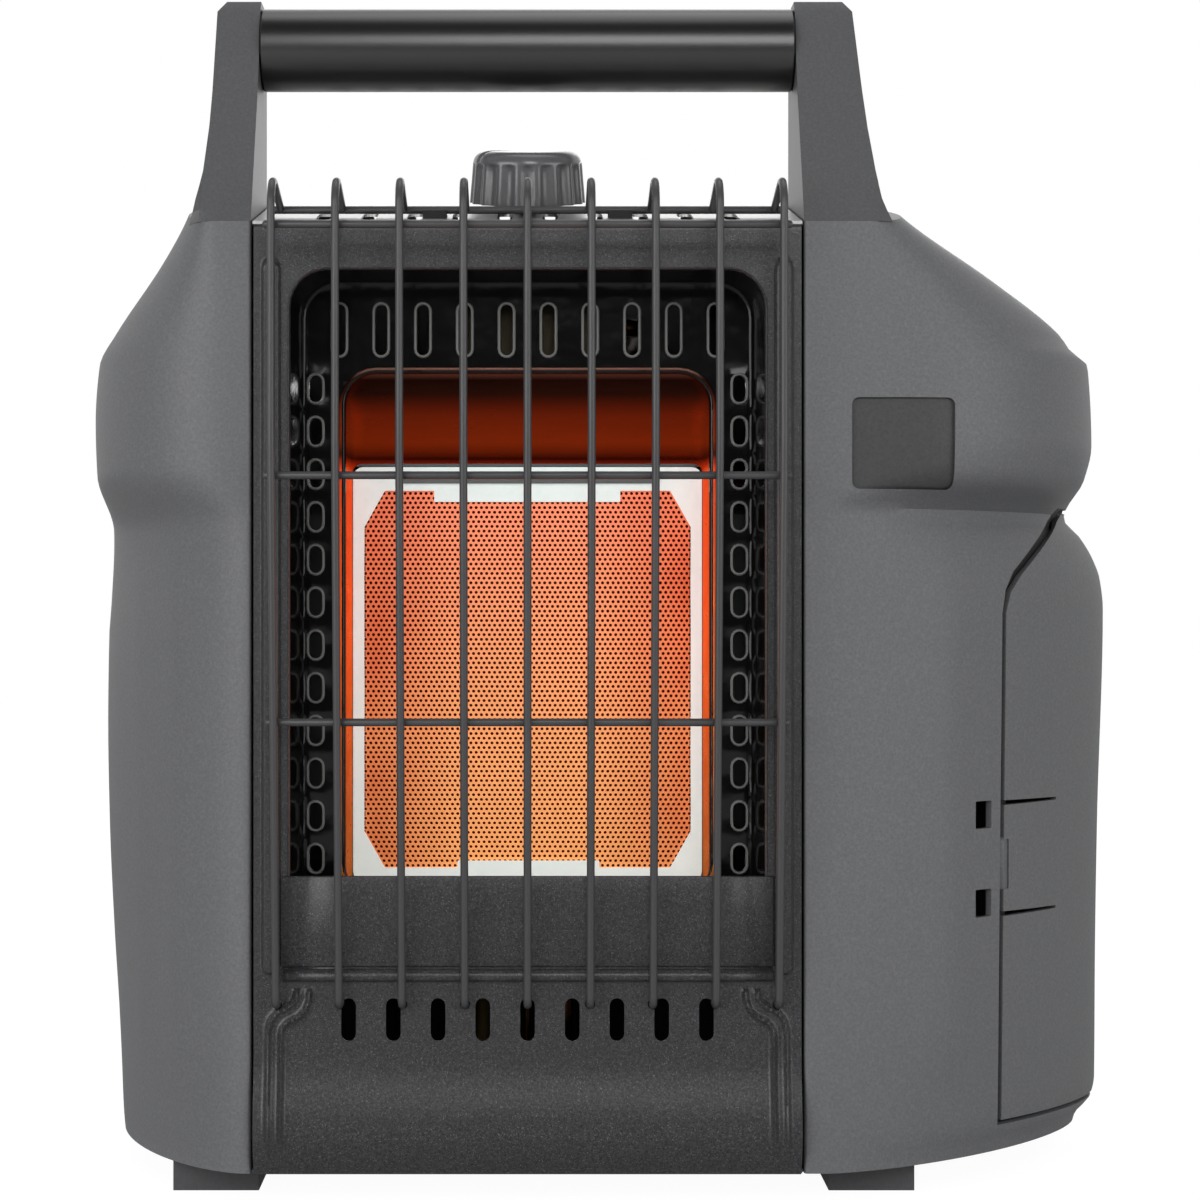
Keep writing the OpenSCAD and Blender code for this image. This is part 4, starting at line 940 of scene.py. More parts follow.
def shell_skin(bm, side):
    """Outer skin of the left (-1) or right (1) shell with its sloping roof."""
    sections, folds = SIDES[side]
    levels = lines((BASE_Z, 30, 2.2), (30, 196, 8.0), (196, ROOF_RIDGE_Z, 2.4))
    rings = []
    for z in levels:
        points = shell_outline(*section_at(sections, z))
        fade = eased((225 - z) / 30) * eased((z - 30) / 20)
        rings.append([(side * x, y - sum(rise * fade * math.exp(-abs(x - at) / width)
                                         for at, rise, width in folds), z) for x, y in points])
    loft(bm, rings)
    roof = (((0, 0, ROOF_FRONT_Z), (0, -math.sin(ROOF_TILT), math.cos(ROOF_TILT))),
            ((0, ROOF_FALL_Y, ROOF_RIDGE_Z), (0, ROOF_FALL, BODY_DEPTH - ROOF_FALL_Y)))
    for point, normal in roof:
        bmesh.ops.bisect_plane(bm, geom=everything(bm), dist=CUT_REACH, plane_co=point,
                               plane_no=normal, clear_outer=True)
    rim = [e for e in bm.edges if e.is_boundary and all(on_roof(v) for v in e.verts)]

    def to_seam(share):
        def step(p):
            y = max(p.y, 5.0)
            goal = Vector((side * SHELL_X, y, roof_height(y)))
            return p.lerp(goal, share)
        return step
    grow(bm, rim, (to_seam(0.5), to_seam(1.0)))
    tidy(bm)
    edge = [e for e in bm.edges if len(e.link_faces) == 2 and e.calc_face_angle() > 0.35
            and all(on_roof(v) and abs(v.co.x) > SHELL_X + 0.9 and v.co.y < BODY_DEPTH - 1
                    for v in e.verts)]
    soften(bm, edge, 2.0, 4)
    face_out(bm, Vector((side * (SHELL_X + 20), BODY_DEPTH / 2, 170)))


def door_zone(gap):
    """Outline of the fuel door in X and Z, grown by a gap."""
    slant = 2.3 * gap
    return [(161.5 - gap, 20.8 - gap), (FAR, 20.8 - gap), (FAR, 231 + gap),
            (191.5 - slant, 231 + gap), (169 - slant, 208.6 + gap / 2),
            (164.9 - 1.4 * gap, 202.4 + gap / 2), (163.1 - gap, 195)]


def ahead_of(depth):
    """A test for faces in front of a depth."""
    return lambda face: face.calc_center_median().y < depth


def cut_rear(bm, depth):
    """Scores the skin beside the door along its rear edge."""
    near = [f for f in bm.faces
            if f.calc_center_median().x > 185 and f.calc_center_median().z < 232]
    bmesh.ops.bisect_plane(bm, geom=with_rims(near), dist=CUT_REACH, plane_co=(0, depth, 0),
                           plane_no=(0, 1, 0))


# Hinge axis in X and Y, heights of its two barrels, their radius, height and web
HINGE = (212.5, 142.1)
HINGE_HEIGHTS = (62.0, 158.0)
KNUCKLE = 3.1
KNUCKLE_TALL = 18.0
WEB = 7.0
WEB_THICK = 3.0
# Badge recess and snap windows: middle, width, height and corner radius
BADGE = (124.0, 251.0, 34.4, 30.2, 2.4)
WINDOWS = ((154.8, 96.4, 6.2, 9.4, 0.4), (154.8, 126.4, 6.2, 9.4, 0.4))
# Snap tongue: heights of its slits, their ends in X, their half heights there, and its grip
TONGUE_SLITS = (92.0, 130.0)
SLIT_ENDS = (160.0, 185.0)
SLIT_HALVES = (0.9, 0.5)
TONGUE_GRIP = (163.6, 109, 2.4, 17, 0.4)


def knuckle(bm, z, tall, side):
    """A hinge barrel with its web into the skin."""
    x, y = HINGE
    bmesh.ops.create_cone(bm, cap_ends=True, segments=28, radius1=KNUCKLE, radius2=KNUCKLE,
                          depth=tall, matrix=Matrix.Translation((x, y, z)))
    web = bmesh.ops.create_cube(bm, size=1.0, matrix=Matrix.Translation(
        (x - WEB / 2, y + side * WEB_THICK / 2, z)) @ Matrix.Diagonal(
            (WEB, WEB_THICK, tall - 0.1, 1)))["verts"]
    rims = {e for f in bm.faces if abs(f.normal.z) > 0.9 for e in f.edges
            if not any(v in web for v in e.verts)}
    soften(bm, [e for e in rims if abs(e.verts[0].co.z - e.verts[1].co.z) < 0.01
                and abs(abs(e.verts[0].co.z - z) - tall / 2) < 0.01], 0.35, 2)


def add_knuckle(bm, z, tall, side):
    """Adds a finished hinge barrel to a mesh."""
    barrel = bmesh.new()
    knuckle(barrel, z, tall, side)
    add_mesh(bm, barrel)


class HEATER_OT_shells(bpy.types.Operator):
    """Builds the two moulded side shells with the badge recess and the snap windows"""
    bl_idname = "heater.shells"
    bl_label = "Side shells"

    def execute(self, context):
        sizes = context.scene.heater_sizes
        left = bmesh.new()
        shell_skin(left, -1)
        piece(left, "left_shell_skin", shells_finish(), ("left_shell",),
              wall=sizes.shell_wall, bevel=0.5, sharp=40, even=False)
        self.right_shell(sizes)
        self.rebate(sizes)
        barrels = bmesh.new()
        for z in HINGE_HEIGHTS:
            for way in (-1, 1):
                add_knuckle(barrels, z + way * (KNUCKLE_TALL * 0.75 + 0.4), KNUCKLE_TALL / 2, 1)
        piece(barrels, "shell_hinge_barrels", shells_finish())
        return {"FINISHED"}

    def right_shell(self, sizes):
        """The right shell with its badge recess, its windows and the opening for the door."""
        bm = bmesh.new()
        shell_skin(bm, 1)
        sunk = set(recess(bm, round_rect(*BADGE, 4), (0, sizes.badge_depth / MM, 0), ahead_of(30)))
        for face in bm.faces:
            if all(v in sunk for v in face.verts):
                face.material_index = 1
        for window in WINDOWS:
            cut_out(bm, round_rect(*window, 2), ahead_of(60))
        gap = sizes.door_gap / MM
        cut_rear(bm, DOOR_REAR + gap)
        cut_out(bm, door_zone(gap), ahead_of(DOOR_REAR + gap))
        badge = moulded("badge_floor_plastic", tinted(slot_colour("shell_plastic"), 0.36), 0.5,
                        1500.0, 0.00004, 1.2)
        piece(bm, "right_shell_skin", (shells_finish(), badge), ("right_shell",),
              wall=sizes.shell_wall, bevel=0.45, sharp=40, even=False)

    def rebate(self, sizes):
        """The ledge behind the door's gap, nearly black as painted shade in the gap, nearer to the
        skin at the door's top.
        """
        bm = bmesh.new()
        shell_skin(bm, 1)
        rear = DOOR_REAR - 3
        cut_rear(bm, rear)
        inner = set(score(bm, door_zone(-4.0), ahead_of(DOOR_REAR)))
        under = set(score(bm, door_zone(-0.4), ahead_of(DOOR_REAR)))
        outer = score(bm, door_zone(sizes.door_gap / MM + 1.0), ahead_of(rear))
        keep_only(bm, [f for f in outer if f not in inner
                       and not (f in under and f.calc_center_median().z > REBATE_RISE)])
        bm.normal_update()
        for vert in bm.verts:
            deep = sizes.shell_wall / MM + 0.4 - 1.9 * eased((vert.co.z - REBATE_RISE) / 3)
            vert.co -= vert.normal * deep
        # Nearly black shell plastic: painted shade behind the door's gap.
        shade = moulded("rebate_plastic", tinted(slot_colour("shell_plastic"), 0.08), 0.6, 1500.0,
                        0.00004, 0.6)
        piece(bm, "door_rebate", shade, wall=0.0012, sharp=40, even=False)


class HEATER_OT_door(bpy.types.Operator):
    """Builds the fuel door with its snap tongue between two slits"""
    bl_idname = "heater.door"
    bl_label = "Fuel door"

    def execute(self, context):
        sizes = context.scene.heater_sizes
        bm = bmesh.new()
        shell_skin(bm, 1)
        cut_rear(bm, DOOR_REAR)
        keep_only(bm, score(bm, door_zone(-0.6), ahead_of(DOOR_REAR)))
        (near, far), (wide, thin) = SLIT_ENDS, SLIT_HALVES
        for z in TONGUE_SLITS:
            cut_out(bm, [(near, z - wide), (far, z - thin), (far, z + thin), (near, z + wide)],
                    ahead_of(70))
        recess(bm, round_rect(*TONGUE_GRIP, 2), (0, 0.7, 0), ahead_of(70))
        plastic = moulded("door_plastic", slot_colour("door_plastic"), 0.52, 2100.0, 0.00006, 1.1)
        piece(bm, "fuel_door_skin", plastic, ("fuel_door",), "fuel_door",
              sizes.shell_wall, 0.45, sharp=40, even=False)
        barrels = bmesh.new()
        for z in HINGE_HEIGHTS:
            add_knuckle(barrels, z, KNUCKLE_TALL, -1)
        piece(barrels, "door_hinge_barrels", plastic, (), "fuel_door")
        return {"FINISHED"}


# ---------- handle ----------

# Of each upright: node, side, outward flare above the roof, flare at its foot, and the places of
# the upright cuts in its front, from the heater's middle
UPRIGHTS = (("handle_upright_left", -1, 1.1, 1.0, (101.0, 104.6, 108.0)),
            ("handle_upright_right", 1, 1.8, 2.0, (108.0, 111.6, 115.0)))
UPRIGHT_LEVELS = (328.0, 337.0, 348.0, 360.0)
GRIP_EDGE = 0.8


def flared(side, above, below):
    """Shift of an upright that flares outwards and runs its foot back along the shell's front."""
    def shift(p):
        across = max(0.0, min(1.2, (abs(p.x) - 94) / 24))
        out = above * across * eased((p.z - 326) / 16) * eased((412 - p.z) / 60)
        out += side * below * across * eased((336 - p.z) / 12)
        skin = skin_depth(side, abs(p.x + out), min(p.z, 328.0))
        back = max(0.0, skin - 0.8 - p.y) * eased((356 - p.z) / 24)
        return Vector((out, back, 0))
    return shift


class HEATER_OT_handle(bpy.types.Operator):
    """Builds the handle's uprights and the round grip between them"""
    bl_idname = "heater.handle"
    bl_label = "Handle"

    def execute(self, context):
        colour = tinted(context.scene.heater_colours.upright, 0.82)
        plastic = moulded("upright_plastic", colour, 0.5, 2100.0, 0.00004, 0.9)
        for node, side, above, below, cuts in UPRIGHTS:
            splits = [((side * x, 0, 0), (1, 0, 0)) for x in cuts]
            splits += [((0, 0, z), (0, 0, 1)) for z in UPRIGHT_LEVELS]
            dressed(node, plastic, bevel=1.1, segments=3,
                    shift=flared(side, above, below), splits=splits)
        self.grip()
        return {"FINISHED"}

    def grip(self):
        """The round sleeve over the handle's rod, with softened ends."""
        low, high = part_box("grip_tube")
        middle = UNPLACE @ ((low + high) / 2)
        radius = (high.z - low.z) / 2 / MM
        length = (high.x - low.x) / MM
        bm = bmesh.new()
        end = radius - GRIP_EDGE
        bmesh.ops.create_circle(bm, cap_ends=False, radius=end, segments=64,
                                matrix=Matrix.Translation((-length / 2, middle.y, middle.z))
                                @ Matrix.Rotation(math.pi / 2, 4, "Y"))

        def slide(move, scale):
            return lambda p: Vector((p.x + move, middle.y + (p.y - middle.y) * scale,
                                     middle.z + (p.z - middle.z) * scale))
        grow(bm, bm.edges[:], (slide(GRIP_EDGE, radius / end), slide(length - 2 * GRIP_EDGE, 1.0),
                               slide(GRIP_EDGE, end / radius)))
        face_out(bm, middle)
        coat = moulded("grip_plastic", tinted(slot_colour("grip_plastic"), 0.12), 0.3, 2400.0,
                       0.00002, 0.4, 0.95)
        piece(bm, "grip_sleeve", coat, ("grip_tube",), wall=0.0025)


# ---------- front panel ----------

RIB_X = 84.4
OPENING_HALF = 79.0
OPENING_TOP = 308.9
LIP_TOP = 108.6
LOWER_SLOT_PITCH = 14.72
WIRE_PITCH = 20.6
WIRE_HOLE_Z = 66.3
WIRE_HOLE = 1.7
OPENING_RADIUS = 13.2
OPENING_LOW = 82.0
# Middle lines of the two ridges of the lower bead, from its hooked top down to the foot
OUTER_RIDGE = ((-75.7, 71.5), (-75.9, 68.6), (-77.2, 66.4), (-79.6, 65.0), (-82.4, 63.6),
               (-84.4, 61.2), (-85.3, 57.6), (-85.5, 13.0))
INNER_RIDGE = ((-71.6, 71.5), (-71.8, 67.4), (-73.2, 64.0), (-76.0, 61.6), (-79.0, 60.2),
               (-80.6, 58.4), (-81.0, 55.6), (-81.0, 13.0))
RIDGE_WIDTH = 0.95
# Lip plate in section: its plain face and the bead along its foot, in Y and Z
LIP_PROFILE = ((-0.5, LIP_TOP), (-0.9, LIP_TOP - 0.15), (-1.05, LIP_TOP - 0.6), (-1.1, 79.3),
               (-0.7, 78.7), (-0.2, 78.5), (-0.2, 78.0), (-1.2, 77.7), (-1.9, 77.1), (-2.3, 76.3),
               (-2.4, 75.5), (-2.2, 74.8), (-1.7, 74.2), (-1.0, 73.9), (-0.2, 73.8))


def to_path(x, z, path):
    """Distance from a point to a run of straight lines."""
    best = 1e9
    for (ax, az), (bx, bz) in zip(path, path[1:]):
        dx, dz = bx - ax, bz - az
        t = max(0.0, min(1.0, ((x - ax) * dx + (z - az) * dz) / (dx * dx + dz * dz)))
        best = min(best, math.hypot(x - ax - t * dx, z - az - t * dz))
    return best


def panel_depth(x, z):
    """Depth of the pressed front panel: its ribs, its lower beads and the roll at its foot."""
    depth = -3.6 * eased((49 - z) / 24)
    if z < 24:
        depth += 4.4 * ((24 - z) / 14) ** 2
    rib = to_path(abs(x), z, ((RIB_X, 79.0), (RIB_X, 308.6)))
    depth -= 1.7 * eased((3.4 - rib) / 1.3)
    if z < 76 and abs(x) > 66:
        outer = to_path(-abs(x), z, OUTER_RIDGE)
        inner = to_path(-abs(x), z, INNER_RIDGE)
        ridges = sum(math.exp(-(off / RIDGE_WIDTH) ** 2) for off in (outer, inner))
        valley = 0.35 * eased((outer + inner < 5.6) * (5.6 - outer - inner))
        depth -= (1.5 * ridges + valley) * eased((z - 14) / 10) * eased((71.2 - z) / 0.6)
    return depth


class HEATER_OT_front_panel(bpy.types.Operator):
    """Builds the pressed front panel and the lip plate under the opening"""
    bl_idname = "heater.front_panel"
    bl_label = "Front panel"

    def execute(self, context):
        sizes = context.scene.heater_sizes
        bm = bmesh.new()
        half = PANEL_HALF - 0.35
        xs = lines((-half, -68, 0.5), (-68, 68, 4.0), (68, half, 0.5))
        zs = lines((BASE_Z, 28, 1.2), (28, 50, 1.8), (50, 84, 0.9), (84, 300, 9.0),
                   (300, 321.8, 1.1))
        grid_sheet(bm, xs, zs, panel_depth)
        self.opening(bm)
        for i in range(-4, 5):
            cut_out(bm, upright_slot(i * LOWER_SLOT_PITCH, 61.2, 4.85, 14.2))
            cut_out(bm, [(i * WIRE_PITCH + WIRE_HOLE * math.cos(a),
                          WIRE_HOLE_Z + WIRE_HOLE * math.sin(a))
                         for a in [math.radians(36 * k) for k in range(10)]])

        def border(test):
            return [e for e in bm.edges if e.is_boundary and all(test(v.co) for v in e.verts)]
        grow(bm, border(lambda p: abs(abs(p.x) - half) < 0.01),
             (lambda p: Vector((p.x, 13.0, p.z)),))
        grow(bm, border(lambda p: p.z > 321.7 and p.y < 0.5),
             (moved(0, 0.25, 0.9), moved(0, 0.65, 0.7), moved(0, 1.0, 0.45), moved(0, 1.4, 0.25)))
        grow(bm, border(lambda p: p.z < BASE_Z + 0.01 and p.y < 12),
             (lambda p: Vector((p.x, p.y + 0.4, BASE_Z - 0.35)),
              lambda p: Vector((p.x, 12.0, BASE_Z - 0.4))))
        tidy(bm, 0.001)
        face_out(bm, BEHIND)
        piece(bm, "front_panel_pressed", powder_finish(), ("front_panel",),
              wall=sizes.sheet, bevel=0.5, segments=3, sharp=48)
        lip = bmesh.new()
        loft(lip, [[(x, y, z) for y, z in LIP_PROFILE] for x in lines((-80.6, 80.6, 20.0))])
        face_out(lip, BEHIND)
        piece(lip, "lip_plate_pressed", powder_finish(), ("lip_plate",),
              wall=sizes.sheet * 0.8, sharp=60)
        return {"FINISHED"}

    def opening(self, bm):
        """Cuts the large opening and rolls its edge."""
        outline = [(OPENING_HALF, OPENING_LOW)]
        outline += round_rect(0, 190, 2 * OPENING_HALF, 2 * (OPENING_TOP - 190), OPENING_RADIUS,
                              7)[:16]
        outline += [(-OPENING_HALF, OPENING_LOW)]
        core = (-OPENING_HALF + OPENING_RADIUS, OPENING_HALF - OPENING_RADIUS, OPENING_LOW + 1,
                OPENING_TOP - OPENING_RADIUS)
        grow(bm, cut_out(bm, outline), [pushed(core, *step) for step in (
            (-0.25, -0.5), (-0.3, -0.15), (-0.2, 0.35), (-0.05, 0.7))])


# ---------- enamel pan and reflector ----------

PAN_BACK = 27.2
MOUTH_HALF = 62.6
MOUTH_LOW = 98.0
MOUTH_TOP = 277.0
MOUTH_CORNER = 11.0
# The pan's back: width, bottom, top and corner radius; then its wall from the back to the
# flange, as growth outwards and depth
PAN = (150.0, 80.0, 306.0, 11.0)
PAN_WALL = ((0.9, PAN_BACK - 0.25), (0.5, PAN_BACK - 0.9), (0.25, PAN_BACK - 2.3), (1.9, 11.0),
            (1.0, 5.0), (0.3, 1.6), (2.4, 1.2))
# The pan's slots: middle, width and height; then the rim pressed around each and the turn
# behind it, as growth outwards and rise
PAN_SLOTS = [(14.2 * (i - 4.5), 291.0, 4.5, 17.6) for i in range(10)]
PAN_SLOTS += [(side * 72.0, 271 - 14.5 * i, 4.7, 9.4) for side in (-1, 1) for i in range(12)]
SLOT_MARGIN = 1.6
SLOT_RIM = ((-0.15, -0.4), (-0.25, -0.35), (-0.35, 0.0), (-0.2, 0.4))
SLOT_TURN = ((-0.05, 1.0), (0.0, 2.5))
# The reflector's funnel: its size at the mouth, its depth, and its rings as a share of the
# depth and a flare
FUNNEL_TOP = 276.6
FUNNEL_LOW = 99.2
FUNNEL_HALF = 62.3
FUNNEL_DEEP = 29.4
FUNNEL_RINGS = ((-0.06, 1.3), (-0.03, 0.3), (0.0, 0.0), (0.12, 0.0), (0.25, 0.0), (0.4, 0.0),
                (0.55, 0.0), (0.7, 0.0), (0.85, 0.0), (1.0, 0.0))


def pan_depth(x, z):
    """Depth of the pan's back, slightly raised between the side slots."""
    between = 0.5 - 0.5 * math.cos(2 * math.pi * (z - 271) / 14.5)
    side = math.exp(-((abs(x) - 72) / 5.5) ** 2) if 104 < z < 278 else 0.0
    return PAN_BACK - 0.4 * side * between


class HEATER_OT_enamel_pan(bpy.types.Operator):
    """Builds the black enamelled pan behind the opening, with raised slot rims"""
    bl_idname = "heater.enamel_pan"
    bl_label = "Enamel pan"

    def execute(self, context):
        bm = bmesh.new()
        width, low, high, radius = PAN
        grid_sheet(bm, lines((-76, -64, 1.5), (-64, 64, 8.0), (64, 76, 1.5)),
                   lines((79, 104, 8.0), (104, 278, 2.05), (278, 307, 4.0)), pan_depth)
        keep_only(bm, score(bm, round_rect(0, (low + high) / 2, width, high - low, radius, 7)))
        core = (-width / 2 + radius, width / 2 - radius, low + radius, high - radius)
        grow(bm, [e for e in bm.edges if e.is_boundary],
             [away_from(core, out, depth) for out, depth in PAN_WALL])
        rim = cut_out(bm, round_rect(0, (MOUTH_LOW + MOUTH_TOP) / 2, 2 * MOUTH_HALF,
                                     MOUTH_TOP - MOUTH_LOW, MOUTH_CORNER, 7))
        core = (-MOUTH_HALF + MOUTH_CORNER, MOUTH_HALF - MOUTH_CORNER,
                MOUTH_LOW + MOUTH_CORNER, MOUTH_TOP - MOUTH_CORNER)
        grow(bm, rim, (away_from(core, -0.5, PAN_BACK + 0.3),
                       away_from(core, -0.4, PAN_BACK + 1.4)))
        for x, z, wide, tall in PAN_SLOTS:
            rim = cut_out(bm, upright_slot(x, z, wide + SLOT_MARGIN, tall + SLOT_MARGIN, 7))
            reach = (tall - wide) / 2
            line = (x, x, z - reach, z + reach)
            known = set(bm.faces)
            rim = grow(bm, rim, [pushed(line, out, rise) for out, rise in SLOT_RIM])
            # The rim's new faces take the lighter grey enamel: a painted highlight along each slot.
            for face in bm.faces:
                if face not in known:
                    face.material_index = 1
            grow(bm, rim, [pushed(line, out, rise) for out, rise in SLOT_TURN])
        tidy(bm, 0.001)
        face_out(bm, BEHIND)
        coat = gloss_enamel("black_enamel", slot_colour("enamel"))
        # Lighter grey enamel for the slot rims, a painted highlight.
        thin = gloss_enamel("thin_enamel", (0.34, 0.34, 0.33))
        piece(bm, "enamel_pan_pressed", (coat, thin), ("enamel_pan",), wall=0.0006,
              sharp=50)
        return {"FINISHED"}


class HEATER_OT_reflector(bpy.types.Operator):
    """Builds the heat-tinted funnel from the pan to the burner, with the burner's light painted on
    it
    """
    bl_idname = "heater.reflector"
    bl_label = "Reflector"

    def execute(self, context):
        rings = []
        for share, flare in FUNNEL_RINGS:
            inner = max(0.0, share)
            top = FUNNEL_TOP - FUNNEL_DEEP * (0.55 * inner + 0.45 * inner ** 0.6)
            half = FUNNEL_HALF - 0.8 * inner
            rings.append([(x, PAN_BACK + 1.3 + FUNNEL_DEEP * share, z) for x, z in round_rect(
                0, (top + FUNNEL_LOW) / 2, 2 * (half + flare), top - FUNNEL_LOW + 2 * flare,
                MOUTH_CORNER - 7.5 * inner + flare, 6)])
        bm = bmesh.new()
        loft(bm, rings, closed=True)
        bmesh.ops.recalc_face_normals(bm, faces=bm.faces)
        if sum((Vector((0, f.calc_center_median().y, 180)) - f.calc_center_median()).dot(f.normal)
               for f in bm.faces) < 0:
            bmesh.ops.reverse_faces(bm, faces=bm.faces)
        coats = (heat_tint_with_painted_glow("heat_tint_painted_glow_steel"), galvanised_finish())
        funnel = piece(bm, "reflector_funnel", coats, ("reflector",),
                       wall=0.0006, sharp=60)
        funnel.modifiers["Wall"].material_offset = 1
        return {"FINISHED"}


# ---------- burner ----------

TILE_FACE_Y = 59.4
FIELD_W = 115.2
FIELD_LOW = 105.0
FIELD_TOP = 238.0
# Holes: height of a row as a share of the pitch, radius and depth
ROW_SHARE = 0.894
HOLE_RADIUS = 0.62
HOLE_DEEP = 1.6
# Tabs of the fibre frame over the burner face: left, right, low and top; then its window
UPPER_TAB = (-32.8, 32.6, 233.8, 239.5)
LOWER_TAB = (-24.6, 25.2, 103.0, 107.6)
WINDOW = [(57.4, 225.0), (50.2, 237.7), (-50.2, 237.7), (-57.4, 225.0),
          (-57.4, 118.0), (-50.2, 105.2), (50.2, 105.2), (57.4, 118.0)]


def on_tab(p):
    """Whether a point lies on one of the fibre frame's tabs."""
    return ((p.z > UPPER_TAB[2] and UPPER_TAB[0] < p.x < UPPER_TAB[1])
            or (p.z < LOWER_TAB[3] and LOWER_TAB[0] < p.x < LOWER_TAB[1]))


class HEATER_OT_burner(bpy.types.Operator):
    """Builds the perforated burner face, its fibre frame and a dark sheet behind the holes as their
    painted shade
    """
    bl_idname = "heater.burner"
    bl_label = "Burner"

    def execute(self, context):
        colours = context.scene.heater_colours
        ceramic = glowing_ceramic("glowing_ceramic", tuple(colours.glow_low),
                                  tuple(colours.glow_top))
        self.face(context.scene.heater_sizes.hole_pitch / MM, ceramic)
        # A dark sheet behind the holes: painted shade at the bottom of every hole.
        back = bmesh.new()
        grid_sheet(back, lines((-59, 59, 59)), lines((102.4, 244, 70)),
                   lambda x, z: TILE_FACE_Y + 1.5)
        face_out(back, BEHIND)
        piece(back, "burner_depth", hole_shade("burner_holes"),
              wall=0.009)
        gasket = bmesh.new()
        grid_sheet(gasket, lines((-61.4, 61.4, 3.0)), lines((100.3, 246.1, 3.0)),
                   lambda x, z: 58.0 + 0.12 * math.sin(x * 1.7 + z) * math.sin(z * 0.9))
        keep_only(gasket, score(gasket, round_rect(0, 173.2, 122.6, 145.6, 3.5, 4)))
        for left, right, low, top in (UPPER_TAB, LOWER_TAB):
            score(gasket, [(left, low), (right, low), (right, top), (left, top)])
        cut_out(gasket, WINDOW, spare=on_tab)
        face_out(gasket, BEHIND)
        piece(gasket, "fibre_frame", fibre("gasket_fibre"), ("tile_gasket",),
              wall=0.00135, bevel=0.35, sharp=50)
        return {"FINISHED"}

    def face(self, pitch, ceramic):
        """The burner face: one hole with its cell, doubled into rows and then columns."""
        row_pitch = pitch * ROW_SHARE
        columns = int(FIELD_W / pitch)
        rows = int((FIELD_TOP - FIELD_LOW) / row_pitch)
        bm = bmesh.new()
        turned = Matrix.Rotation(math.pi / 2, 4, "X") @ Matrix.Rotation(math.pi / 6, 4, "Z")
        cell = bmesh.ops.create_circle(bm, cap_ends=False, radius=HOLE_RADIUS, segments=6,
                                       matrix=turned)["verts"]
        ring = list({e for v in cell for e in v.link_edges})
        half, tall = pitch / 2, row_pitch / 2

        def to_border(p):
            x = 0.0 if abs(p.x) < 0.05 else math.copysign(half, p.x)
            return Vector((x, 0.0, math.copysign(tall, p.z)))
        grow(bm, ring, (to_border,))
        grow(bm, ring, (moved(0, HOLE_DEEP, 0),))
        for count, move in ((columns, Vector((pitch, 0, 0))), (2, Vector((half, 0, row_pitch))),
                            (rows // 2, Vector((0, 0, 2 * row_pitch)))):
            cells = everything(bm)
            done = 1
            while done < count:
                made = bmesh.ops.duplicate(bm, geom=cells)["geom"]
                bmesh.ops.translate(bm, verts=only_verts(made), vec=move * done)
                cells = cells + made
                done *= 2
            if done > count:
                axis, edge = (0, half) if move.x > move.z else (2, tall)
                limit = (move * count)[axis] - edge + 0.02
                bmesh.ops.delete(bm, geom=[v for v in bm.verts if v.co[axis] > limit],
                                 context="VERTS")
        width = columns * pitch
        bmesh.ops.translate(bm, verts=bm.verts, vec=(
            -width / 2 + half / 2, TILE_FACE_Y, FIELD_LOW + tall))
        bmesh.ops.remove_doubles(bm, verts=bm.verts, dist=0.01)
        face_out(bm, BEHIND)
        piece(bm, "burner_face", ceramic, ("burner_tile",), sharp=30)


# ---------- guard ----------

BEND_STEP = math.radians(11.0)
WIRE_SIDES = 14
# Each upright wire: length of a straight run, radius and turn of the bend after it
WIRE_RUNS = ((5.289, 3.0, math.radians(-84.713)), (178.715, 60.0, math.radians(-5.287)),
             (73.5, 9.0, math.radians(-102.7)), (21.9, 0.0, 0.0))
# Depth and height of the cross wires
CROSS_WIRES = ((-10.038, 159.5), (-17.442, 239.5), (-18.4, 320.3), (12.6315, 329.5))


def bent_wire(bm, start, heading, steps, radius):
    """A wire in a plane of constant x: straight runs and bends, with rounded ends."""
    point = Vector(start)
    across = Vector((1, 0, 0))
    way = Vector(heading)
    face = way.to_track_quat("Z", "X").to_matrix().to_4x4()
    ring = bmesh.ops.create_circle(bm, cap_ends=False, radius=radius, segments=WIRE_SIDES,
                                   matrix=Matrix.Translation(point) @ face)["verts"]
    first = list({e for v in ring for e in v.link_edges})
    edges = list(first)

    def forward(edges, move):
        verts, edges = extruded(bm, edges)
        bmesh.ops.translate(bm, verts=verts, vec=move)
        return edges

    for run, bend, angle in steps:
        if run:
            edges = forward(edges, way * run)
            point = point + way * run
        if angle:
            centre = point + across.cross(way) * math.copysign(bend, angle)
            count = max(3, math.ceil(abs(angle) / BEND_STEP))
            verts = {v for e in edges for v in e.verts}
            made = bmesh.ops.spin(bm, geom=list(verts) + edges, cent=centre, axis=across,
                                  dvec=(0, 0, 0), angle=angle, steps=count, use_merge=False,
                                  use_duplicate=False)
            edges = [g for g in made["geom_last"] if isinstance(g, bmesh.types.BMEdge)]
            turn = Matrix.Rotation(angle, 3, "X")
            point = centre + turn @ (point - centre)
            way = turn @ way
    for rim, out in ((first, -Vector(heading)), (edges, way)):
        for reach, scale in ((0.35, 0.92), (0.30, 0.80), (0.20, 0.6)):
            verts = sorted({v for e in rim for v in e.verts}, key=lambda v: tuple(v.co))
            middle = sum((v.co for v in verts), Vector()) / len(verts)
            rim = forward(rim, out * radius * reach)
            centre = middle + out * radius * reach
            for v in {v for e in rim for v in e.verts}:
                v.co = centre + (v.co - centre) * scale
        bmesh.ops.contextual_create(bm, geom=rim)


